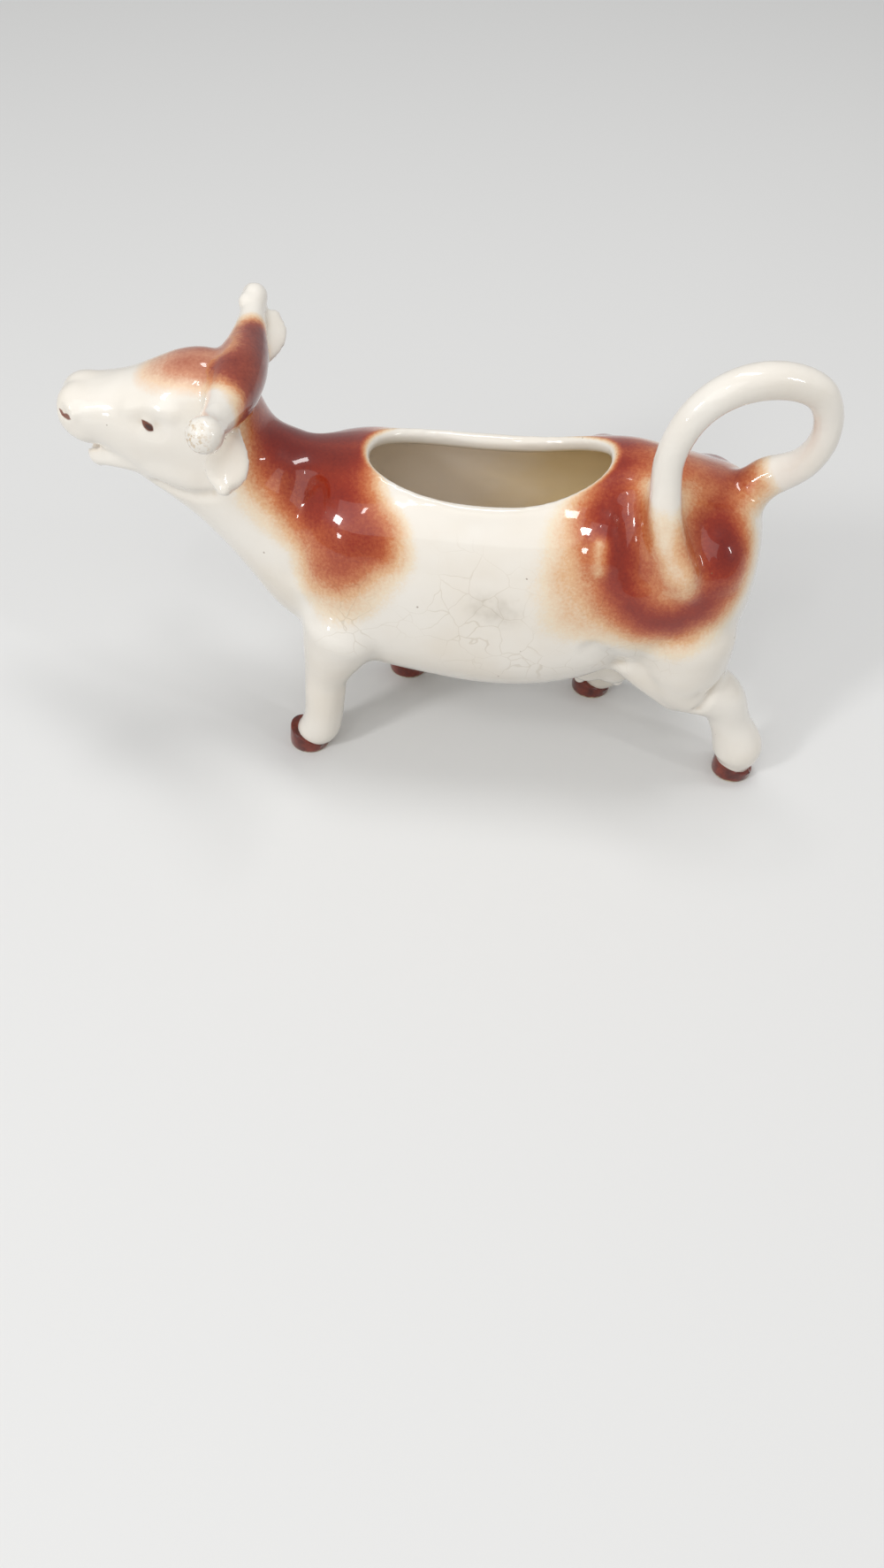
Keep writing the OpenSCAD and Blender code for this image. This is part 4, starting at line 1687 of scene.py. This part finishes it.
class Bench:
    """The node tree of one material or of the world."""

    def __init__(self, owner: bpy.types.Material | bpy.types.World) -> None:
        """Takes the owner's tree and clears its nodes.

        Args:
            owner: The material or the world.
        """
        owner.use_nodes = True
        self.owner = owner
        self.tree = owner.node_tree
        self.tree.nodes.clear()

    def node(self, kind: str, settings: dict[str, object],
             sockets: dict[str | int, object]) -> bpy.types.Node:
        """Adds a node.

        Args:
            kind: The node's type.
            settings: Its settings, and a ramp's stops under "stops".
            sockets: Values or links for its inputs.

        Returns:
            The node.
        """
        made = self.tree.nodes.new(kind)
        for key, value in settings.items():
            if key == "stops":
                self.set_stops(made.color_ramp, value)
            else:
                setattr(made, key, value)
        for key, value in sockets.items():
            if isinstance(value, Wire):
                self.tree.links.new(value.socket, made.inputs[key])
            elif isinstance(value, bpy.types.NodeSocket):
                self.tree.links.new(value, made.inputs[key])
            else:
                made.inputs[key].default_value = value
        return made

    @staticmethod
    def set_stops(ramp: bpy.types.ColorRamp, stops: Stops) -> None:
        """Sets a ramp's stops.

        Args:
            ramp: The ramp.
            stops: Each stop's place and colour.
        """
        while len(ramp.elements) < len(stops):
            ramp.elements.new(1.0)
        for element, (place, colour) in zip(ramp.elements, stops):
            element.position = place
            element.color = colour

    def value(self, name: str) -> Wire:
        """A number that the piece keeps for each of its vertices."""
        made = self.node("ShaderNodeAttribute", {"attribute_name": name}, {})
        return Wire(self, made.outputs["Fac"])

    def place(self) -> bpy.types.NodeSocket:
        """Where on the piece a point lies, in metres."""
        return self.node("ShaderNodeTexCoord", {}, {}).outputs["Object"]

    def axes(self) -> list[Wire]:
        """The x, y and z of that place."""
        parts = self.node("ShaderNodeSeparateXYZ", {}, {0: self.place()}).outputs
        return [Wire(self, part) for part in parts]

    def noise(self, clouds: Clouds, shift: float = 0.0) -> bpy.types.NodeOutputs:
        """Adds a noise.

        Args:
            clouds: Its clouds.
            shift: How much further on in the noise they are taken.

        Returns:
            The node's outputs, a number and a colour about 0.5.
        """
        return self.node("ShaderNodeTexNoise", {"noise_dimensions": "4D"}, {
            "Vector": self.place(), "W": clouds.shift + shift, "Scale": 1 / (clouds.size * MM),
            "Detail": clouds.detail, "Roughness": clouds.rough}).outputs

    def mask(self, clouds: Clouds) -> Wire:
        """Clouds as a mask, 0 below their span and 1 above it."""
        return Wire(self, self.noise(clouds)["Fac"]).between(*clouds.span)

    def relief(self, clouds: Clouds) -> Wire:
        """Clouds as a relief, up to their reach."""
        return Wire(self, self.noise(clouds)["Fac"]) * clouds.reach

    def sway(self, clouds: Clouds, shift: float = 0.0) -> Wire:
        """Clouds that sway a value to both sides, within half their reach."""
        return (Wire(self, self.noise(clouds, shift)["Fac"]) - 0.5) * clouds.reach

    def blended(self, share: Wire | float, first: object, second: object,
                how: str = "MIX") -> bpy.types.NodeSocket:
        """Mixes two colours.

        Args:
            share: How much of the second.
            first: The first colour.
            second: The second colour.
            how: The way of mixing.

        Returns:
            The mixed colour.
        """
        made = self.node("ShaderNodeMix", {"data_type": "RGBA", "blend_type": how,
                                           "clamp_factor": True},
                         {0: share, 6: first, 7: second})
        return made.outputs[2]

    def crazing(self, cracks: Cracks) -> Wire:
        """The net of fine cracks in an old glaze.

        Args:
            cracks: How the cracks run.

        Returns:
            1 on a crack, 0 off it.
        """
        cell = cracks.cell * MM
        clouds = Clouds(cracks.cell * cracks.wander_size, cracks.detail, cracks.rough, cracks.shift)
        pushed = self.node("ShaderNodeVectorMath", {"operation": "MULTIPLY_ADD"},
                           {0: self.noise(clouds)["Color"], 1: (cell * cracks.wander_reach,) * 3,
                            2: self.place()})
        made = self.node("ShaderNodeTexVoronoi", {"feature": "DISTANCE_TO_EDGE",
                                                  "voronoi_dimensions": "4D"},
                         {"Vector": pushed.outputs[0], "W": cracks.shift, "Scale": 1 / cell,
                          "Randomness": 1.0})
        return Wire(self, made.outputs["Distance"]).between(cracks.width,
                                                            cracks.width * cracks.core)

    def finish(self, colour: object, roughness: Wire | float, height: Wire, depth: float,
               coat: Wire | float, coat_roughness: float) -> bpy.types.Material:
        """Closes the tree with the surface.

        Args:
            colour: The colour, as a value or a link.
            roughness: Roughness under the coat.
            height: The relief.
            depth: How deep the relief is, in millimetres.
            coat: How much clear glaze lies on top.
            coat_roughness: How rough that is.

        Returns:
            The material.
        """
        bump = self.node("ShaderNodeBump", {}, {"Strength": 1.0, "Distance": depth * MM,
                                                "Height": height})
        surface = self.node("ShaderNodeBsdfPrincipled", {}, {
            "Base Color": colour, "Roughness": roughness, "Normal": bump.outputs[0],
            "Coat Weight": coat, "Coat Roughness": coat_roughness, "Coat IOR": 1.5,
            "Specular IOR Level": 0.15})
        self.node("ShaderNodeOutputMaterial", {}, {"Surface": surface.outputs[0]})
        return self.owner


@dataclass(frozen=True)
class Spot:
    """A small painted mark on both sides of the head, pointed at its ends, in the side view."""

    x: float
    z: float
    half_l: float
    half_w: float
    tilt: float
    lean: float
    soft: float
    wash: Wash


@dataclass(frozen=True)
class Coat:
    """One coat of sprayed glaze, kept on the piece under its name."""

    name: str
    shift: float
    stops: Stops


@dataclass(frozen=True)
class CowGlaze:
    """The clear glaze over cream, with the red-brown that was sprayed on."""

    slot: Slot
    coats: tuple[Coat, ...] = (
        Coat("sprayed", 0.0, (
            (0.00, shade(238, 232, 222)), (0.10, shade(238, 220, 194)),
            (0.24, shade(226, 182, 140)), (0.42, shade(200, 122, 76)), (0.56, shade(176, 82, 44)),
            (0.72, shade(146, 44, 20)), (0.88, shade(118, 24, 12)), (1.00, shade(92, 16, 12)))),
        Coat("blushed", 11.0, (
            (0.00, shade(238, 232, 222)), (0.22, shade(236, 206, 176)),
            (0.48, shade(206, 146, 116)), (0.72, shade(174, 102, 78)), (1.00, shade(142, 70, 54)))),
        Coat("horned", 23.0, (
            (0.00, shade(238, 232, 222)), (0.16, shade(238, 208, 172)),
            (0.36, shade(210, 140, 94)), (0.58, shade(154, 68, 46)), (0.80, shade(112, 34, 28)),
            (1.00, shade(78, 18, 20)))))
    coat_edge: Pair = (0.015, 0.09)
    # the gun's drift and droplets at a coat's edge, and how unevenly it lies
    mist: Clouds = Clouds(9, 3, 0.6, 0.0, reach=0.34)
    drops: Clouds = Clouds(0.75, 2, 0.6, 3.0, reach=0.30)
    depth: Clouds = Clouds(14, 2, 0.5, 7.0, reach=0.22)
    cream: tuple[Paint, Paint] = (shade(241, 236, 227), shade(235, 227, 214))
    cream_clouds: Clouds = Clouds(26, 3, 0.55, 5.0, (0.35, 0.7))
    # the lining: painted lighter than the outside cream, as light in the hollow's shade, and
    #     # yellower towards the rear, over this length from the part's middle
    lining: tuple[Paint, Paint] = (shade(253, 243, 229), shade(246, 224, 178))
    lining_sway: Clouds = Clouds(16, 3, 0.5, 31.0, reach=24.0)
    lining_l: float = 34.0
    pooled: Wash = Wash(0.7, shade(214, 198, 174), "MULTIPLY")
    cracks: Cracks = Cracks()
    cracked: Clouds = Clouds(20, 2, 0.5, 41.0, (0.40, 0.60))
    crack: Wash = Wash(0.30, shade(200, 188, 168), "MULTIPLY")
    smudged: Clouds = Clouds(3.0, 2, 0.5, 53.0, (0.1, 0.9))
    smudge: Wash = Wash(0.40, shade(176, 168, 154), "MULTIPLY")
    worn: Clouds = Clouds(0.9, 3, 0.7, 59.0, (0.50, 0.62))
    clay: Wash = Wash(0.75, shade(204, 178, 142))
    specked: Clouds = Clouds(1.6, 1, 0.5, 61.0, (0.785, 0.81))
    speck: Wash = Wash(0.6, shade(120, 92, 66))
    # the eye, its pupil and the two strokes of a nostril
    spots: tuple[Spot, ...] = (
        Spot(-66.05, 95.0, 1.7, 0.95, -38.0, 0.35, 0.25, Wash(1.0, shade(112, 56, 34))),
        Spot(-65.7, 94.75, 1.1, 0.62, -38.0, 0.2, 0.6, Wash(0.8, shade(46, 22, 18))),
        Spot(-87.1, 94.1, 0.95, 0.32, -42.0, 0.3, 0.35, Wash(0.9, shade(124, 66, 50))),
        Spot(-85.75, 93.65, 1.15, 0.55, -6.0, 0.3, 0.35, Wash(0.9, shade(124, 66, 50))))
    # a spot begins this far from the middle of the head
    spot_beyond: Pair = (4.0, 5.0)
    # the relief: ripples and waves up, cracks and wear down, and its depth in millimetres
    ripples: Clouds = Clouds(4.2, 2, 0.5, 67.0, reach=0.65)
    waves: Clouds = Clouds(13, 1, 0.5, 71.0, reach=1.2)
    crack_depth: float = 0.10
    worn_depth: float = 0.5
    relief_depth: float = 0.10
    # the roughness of the clay and of the clear glaze, and what wear adds and takes off
    rough: float = 0.32
    worn_rough: float = 0.3
    coat_rough: float = 0.045
    worn_off: float = 0.7

    def mark(self, bench: Bench, spot: Spot) -> Wire:
        """A painted oval.

        Args:
            bench: The material's nodes.
            spot: The oval.

        Returns:
            1 on the mark, 0 off it.
        """
        x, y, z = bench.axes()
        angle = math.radians(spot.tilt)
        along = (x - spot.x * MM) * math.cos(angle) + (z - spot.z * MM) * math.sin(angle)
        across = (z - spot.z * MM) * math.cos(angle) - (x - spot.x * MM) * math.sin(angle)
        share = along / (spot.half_l * MM)
        far = share ** 2 + abs(across) / (spot.half_w * MM) * (1 - share.clamped() * spot.lean)
        inner, outer = self.spot_beyond
        return far.between(1 + spot.soft, 1 - spot.soft) * abs(y).between(inner * MM, outer * MM)

    def density(self, bench: Bench, coat: Coat) -> Wire:
        """A coat with the gun's fine droplets and drift.

        Args:
            bench: The material's nodes.
            coat: The coat, of which the piece keeps the even spray.

        Returns:
            How thickly it lies.
        """
        even = bench.value(coat.name)
        edge = even * (1 - even) * 4
        mist, drops, depth = (bench.sway(clouds, coat.shift)
                              for clouds in (self.mist, self.drops, self.depth))
        return (even + edge * (mist + drops) + depth * even).clamped()

    def coated(self, bench: Bench, inside: Wire) -> bpy.types.NodeSocket:
        """The cream with the coats on it, and the lining, painted lighter as light in the hollow's
        shade.

        Args:
            bench: The material's nodes.
            inside: 1 in the vessel, 0 outside.

        Returns:
            The colour.
        """
        colour = bench.blended(bench.mask(self.cream_clouds), *self.cream)
        for coat in self.coats:
            thick = self.density(bench, coat)
            glaze = bench.node("ShaderNodeValToRGB", {"stops": coat.stops}, {0: thick}).outputs[0]
            colour = bench.blended(thick.between(*self.coat_edge), colour, glaze, "DARKEN")
        along = bench.axes()[0] + bench.sway(self.lining_sway) * MM
        deep = along.between(0.0, self.lining_l * MM)
        # inside the vessel the colour is the lining, a lighter copy of the cream: painted light in
        # the hollow's shade
        return bench.blended(inside, colour, bench.blended(deep, *self.lining))

    def material(self) -> bpy.types.Material:
        """Builds the glaze.

        Returns:
            The material.
        """
        bench = Bench(bpy.data.materials.new(f"{self.slot.value}_finish"))
        inside = bench.value("inside")
        colour = self.coated(bench, inside)
        net = (bench.crazing(self.cracks) * bench.mask(self.cracked) * bench.value("crazed")
               * (1 - inside))
        smudge = bench.value("stain") * bench.mask(self.smudged)
        worn = bench.value("worn") * bench.mask(self.worn)
        specks = bench.mask(self.specked) * (1 - inside)
        for mask, wash in ((bench.value("crease") * (1 - inside), self.pooled), (net, self.crack),
                           (smudge, self.smudge), (worn, self.clay), (specks, self.speck),
                           *((self.mark(bench, spot), spot.wash) for spot in self.spots)):
            colour = bench.blended(mask * wash.strength, colour, wash.paint, wash.how)
        relief = (bench.relief(self.ripples) + bench.relief(self.waves) - net * self.crack_depth
                  - worn * self.worn_depth)
        return bench.finish(colour, self.rough + worn * self.worn_rough, relief,
                            self.relief_depth, 1 - worn * self.worn_off, self.coat_rough)


@dataclass(frozen=True)
class HoofGlaze:
    """Dark red-brown glaze brushed on the hooves, with bare clay where they stand."""

    slot: Slot
    brown: tuple[Paint, Paint] = (shade(134, 52, 34), shade(74, 24, 20))
    brown_clouds: Clouds = Clouds(3.2, 3, 0.6, 3.0, (0.25, 0.75))
    clay: tuple[Paint, Paint] = (shade(214, 196, 164), shade(176, 152, 118))
    clay_clouds: Clouds = Clouds(0.8, 3, 0.6, 13.0, (0.35, 0.65))
    # heights at which the clay begins to show and shows whole, and how that line wavers
    bare: Pair = (0.75, 0.35)
    wavering: Clouds = Clouds(1.8, 3, 0.6, 7.0, reach=1.5)
    # the relief of the brush and of the bare clay, and its depth in millimetres
    brushed: Clouds = Clouds(2.4, 2, 0.5, 17.0, reach=0.8)
    grit: Clouds = Clouds(0.5, 2, 0.5, 19.0, reach=0.4)
    relief_depth: float = 0.12
    rough: float = 0.35
    bare_rough: float = 0.4
    coat_rough: float = 0.06

    def material(self) -> bpy.types.Material:
        """Builds the glaze.

        Returns:
            The material.
        """
        bench = Bench(bpy.data.materials.new(f"{self.slot.value}_finish"))
        colour = bench.blended(bench.mask(self.brown_clouds), *self.brown)
        height = bench.axes()[2] + bench.sway(self.wavering) * MM
        bare = height.between(*(edge * MM for edge in self.bare))
        clay = bench.blended(bench.mask(self.clay_clouds), *self.clay)
        colour = bench.blended(bare, colour, clay)
        relief = bench.relief(self.brushed) + bench.relief(self.grit) * bare
        return bench.finish(colour, self.rough + bare * self.bare_rough, relief,
                            self.relief_depth, 1 - bare, self.coat_rough)


@dataclass
class Painter:
    """Sprays the pieces and marks their creases, stains and wear."""

    body: BodyCast
    spraying: Spraying
    # the tail above its root, which stays free of spray, and how near to it the spray fades
    bare_tail: tuple[Place, ...] = (
        (83.0, -3, 93.0), (85.7, -5, 99.8), (85.4, -5.5, 106), (82, -6, 112), (76, -8, 116),
        (68.5, -10, 116.7), (61.6, -12.5, 115), (56, -14, 111), (52.7, -15, 105), (51, -16, 99))
    bare_near: Pair = (5.0, 11.0)
    rim_edge: Pair = (0.93, 1.02)
    # softly bounded places: their path, whether both sides have it, and where it fades
    soft_places: tuple[tuple[str, tuple[Place, ...], bool, Pair], ...] = (
        ("crazed", ((-14, -24, 58), (4, -26, 57), (22, -26, 52), (42, -25, 53)), True, (9.0, 24.0)),
        ("stain", ((12.5, -25.0, 61.5), (18.5, -25.4, 60.0)), False, (1.5, 6.0)),
        ("worn", ((-49.8, -29.4, 106.0),), False, (3.0, 6.0)))
    # how often and how hard the skin is sponged to find its creases, and how deep one is in
    # which glaze begins to pool, and in which it is pooled
    crease_sponge: int = 14
    crease_factor: float = 0.6
    pools: Pair = (0.05, 0.42)

    def paint(self, cow: bpy.types.Object) -> None:
        """Marks the casting.

        Args:
            cow: The whole casting.
        """
        mesh = cow.data
        points = places(mesh) / MM
        keep(mesh, "crease", self.creases(cow))
        outside = 1 - kept(mesh, "inside")
        bare = soft_step(stroke_distance(points, self.bare_tail, False), *self.bare_near)
        bare *= self.rim_mask(points)
        spraying = self.spraying
        for name, passes, mask in (("sprayed", spraying.patches, bare),
                                   ("blushed", spraying.forehead, 1.0),
                                   ("horned", spraying.horns, 1.0)):
            keep(mesh, name, spraying.density(points, passes) * outside * mask)
        for name, path, both, fade in self.soft_places:
            keep(mesh, name, 1 - soft_step(stroke_distance(points, path, both), *fade))

    def rim_mask(self, points: np.ndarray) -> np.ndarray:
        """Where the spray is wiped off the filling mouth's rim.

        Args:
            points: The points, in millimetres.

        Returns:
            0 there, 1 elsewhere.
        """
        off_rim = soft_step(self.body.mouth_ring(points), *self.rim_edge)
        return np.maximum(off_rim, 1 - soft_step(points[:, 2], *self.body.back_from))

    def creases(self, cow: bpy.types.Object) -> np.ndarray:
        """How deep each vertex lies in a crease, where the glaze pools and dirt stays.

        Args:
            cow: The whole casting.

        Returns:
            0 on open skin, up to 1.
        """
        copy = copied(cow, "crease_copy")
        worked(copy, sponged(self.crease_sponge, self.crease_factor))
        lift = places(copy.data) - places(cow.data)
        removed(copy)
        return soft_step((lift * normals(cow.data)).sum(axis=1) / MM, *self.pools)


@dataclass(frozen=True)
class Lamp:
    """A flat lamp, turned to the cow and hung by azimuth, height in degrees and distance."""

    name: str
    azimuth: float
    height: float
    distance: float
    sides: Pair
    watts: float

    def hang(self, target: Place) -> None:
        """Hangs the lamp.

        Args:
            target: What it is turned to.
        """
        around, above = math.radians(self.azimuth), math.radians(self.height)
        out = Vector((math.cos(above) * math.cos(around), math.cos(above) * math.sin(around),
                      math.sin(above)))
        light = bpy.data.lights.new(self.name, "AREA")
        light.shape = "RECTANGLE"
        light.size, light.size_y = self.sides
        light.energy = self.watts
        lamp = bpy.data.objects.new(self.name, light)
        lamp.location = Vector(target) + out * self.distance
        lamp.rotation_euler = out.to_track_quat("Z", "Y").to_euler()
        bpy.context.scene.collection.objects.link(lamp)


@dataclass
class Studio:
    """The pale floor, the soft lamps and the camera."""

    floor_size: float = 6.0
    floor_paints: tuple[Paint, Paint] = (shade(200, 199, 197), shade(226, 226, 225))
    ground: Paint = shade(240, 240, 240)
    air: float = 0.44
    target: Place = (0.0, 0.0, 0.055)
    lamps: tuple[Lamp, ...] = (
        Lamp("soft_box", -105, 46, 1.6, (1.6, 1.2), 5.3),
        Lamp("window", -136, 33, 1.1, (0.15, 0.20), 3.2),
        Lamp("ceiling_strip", 50, 80, 1.0, (0.55, 0.14), 3.0),
        Lamp("front_strip", -104, 58, 1.1, (0.05, 0.14), 0.35),
        Lamp("side_strip", -25, 28, 1.0, (0.05, 0.24), 0.8),
        Lamp("low_spot", -128, 14, 1.1, (0.10, 0.08), 0.5))
    # the camera that was fitted to the hooves, the horns and the filling mouth
    lens: float = 30.457
    camera_place: Place = (19.63, -263.12, 270.57)
    camera_axes: tuple[Place, Place, Place] = ((0.99562886, 0.09005946, 0.0247481),
                                               (-0.08417403, 0.75040906, 0.65559208),
                                               (0.04047107, -0.65480955, 0.75470958))

    def floor(self) -> None:
        """Lays the floor."""
        bm = bmesh.new()
        bmesh.ops.create_grid(bm, x_segments=8, y_segments=8, size=self.floor_size / 2)
        floor = placed(bm, "studio_floor")
        bench = Bench(bpy.data.materials.new("studio_floor_paper"))
        rays = bench.node("ShaderNodeLightPath", {}, {}).outputs
        seen = (Wire(bench, rays["Is Camera Ray"]) + Wire(bench, rays["Is Glossy Ray"])
                + Wire(bench, rays["Is Transmission Ray"])).clamped()
        surface = bench.node("ShaderNodeBsdfPrincipled", {}, {
            "Base Color": bench.blended(seen, *self.floor_paints), "Roughness": 0.9,
            "Specular IOR Level": 0.1})
        bench.node("ShaderNodeOutputMaterial", {}, {"Surface": surface.outputs[0]})
        floor.data.materials.append(bench.owner)

    def world(self) -> None:
        """Sets the light that comes from all round, and the pale ground that the camera sees."""
        bpy.context.scene.world = bpy.data.worlds.new("studio_air")
        bench = Bench(bpy.context.scene.world)
        rays = bench.node("ShaderNodeLightPath", {}, {}).outputs
        direct = Wire(bench, rays["Is Camera Ray"])
        seen = direct.sum("MAXIMUM", direct, Wire(bench, rays["Is Transmission Ray"]))
        air, pale = (bench.node("ShaderNodeBackground", {}, {0: paint, 1: strength}).outputs[0]
                     for paint, strength in (((1, 1, 1, 1), self.air), (self.ground, 1.0)))
        mix = bench.node("ShaderNodeMixShader", {}, {0: seen, 1: air, 2: pale})
        bench.node("ShaderNodeOutputWorld", {}, {0: mix.outputs[0]})

    def camera(self) -> None:
        """Stands the camera where the photograph was taken from."""
        data = bpy.data.cameras.new("photo_camera")
        data.lens = self.lens
        data.sensor_width = 36.0
        data.clip_start = 0.01
        camera = bpy.data.objects.new("photo_camera", data)
        turn = Matrix(self.camera_axes).transposed().to_4x4()
        camera.matrix_world = Matrix.Translation(Vector(self.camera_place) * MM) @ turn
        bpy.context.scene.collection.objects.link(camera)
        bpy.context.scene.camera = camera

    def build(self) -> None:
        """Sets the whole studio up."""
        self.floor()
        self.world()
        for lamp in self.lamps:
            lamp.hang(self.target)
        self.camera()
        bpy.context.scene.view_settings.view_transform = "Standard"


def dress(obj: bpy.types.Object, node: str, slot: Slot,
          finishes: dict[Slot, bpy.types.Material]) -> None:
    """Gives a piece its finish and its place in the model.

    Args:
        obj: The piece.
        node: The model's node that it stands for.
        slot: Its material slot.
        finishes: The finishes by slot.
    """
    obj.data.materials.clear()
    obj.data.materials.append(finishes[slot])
    obj.data.polygons.foreach_set("material_index", np.zeros(len(obj.data.polygons), np.int32))
    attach(obj, "root")
    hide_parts(node)
    LOG.info("%s: %d faces for %s", obj.name, len(obj.data.polygons), node)


def main() -> None:
    """Builds the cow, piece by piece."""
    logging.basicConfig(level=logging.INFO, format="%(name)s: %(message)s")
    sizes = CowSizes()
    ears = (Ear(sizes, LEFT, droop=19.0), Ear(sizes, RIGHT, droop=-19.0))
    legs = Legs(sizes)
    body = BodyCast(sizes)
    casting = Casting(body, legs, TailLoop(sizes), HornBar(sizes), ears, Modelling())
    cow = casting.skin()
    Painter(body, Spraying()).paint(cow)
    finishes = {slot: CowGlaze(slot).material() for slot in (Slot.PATCHED, Slot.HORN, Slot.CREAM)}
    finishes[Slot.HOOF] = HoofGlaze(Slot.HOOF).material()
    for piece, node, slot in Parting(casting).pieces(cow):
        dress(piece, node, slot, finishes)
    dress(Udder(sizes).piece(), "udder", Slot.CREAM, finishes)
    for name, foot in legs.feet().items():
        dress(Hoof(sizes, foot).piece(f"glazed_{name}_hoof"), f"{name}_hoof", Slot.HOOF, finishes)
    Studio().build()


if __name__ == "__main__":
    main()
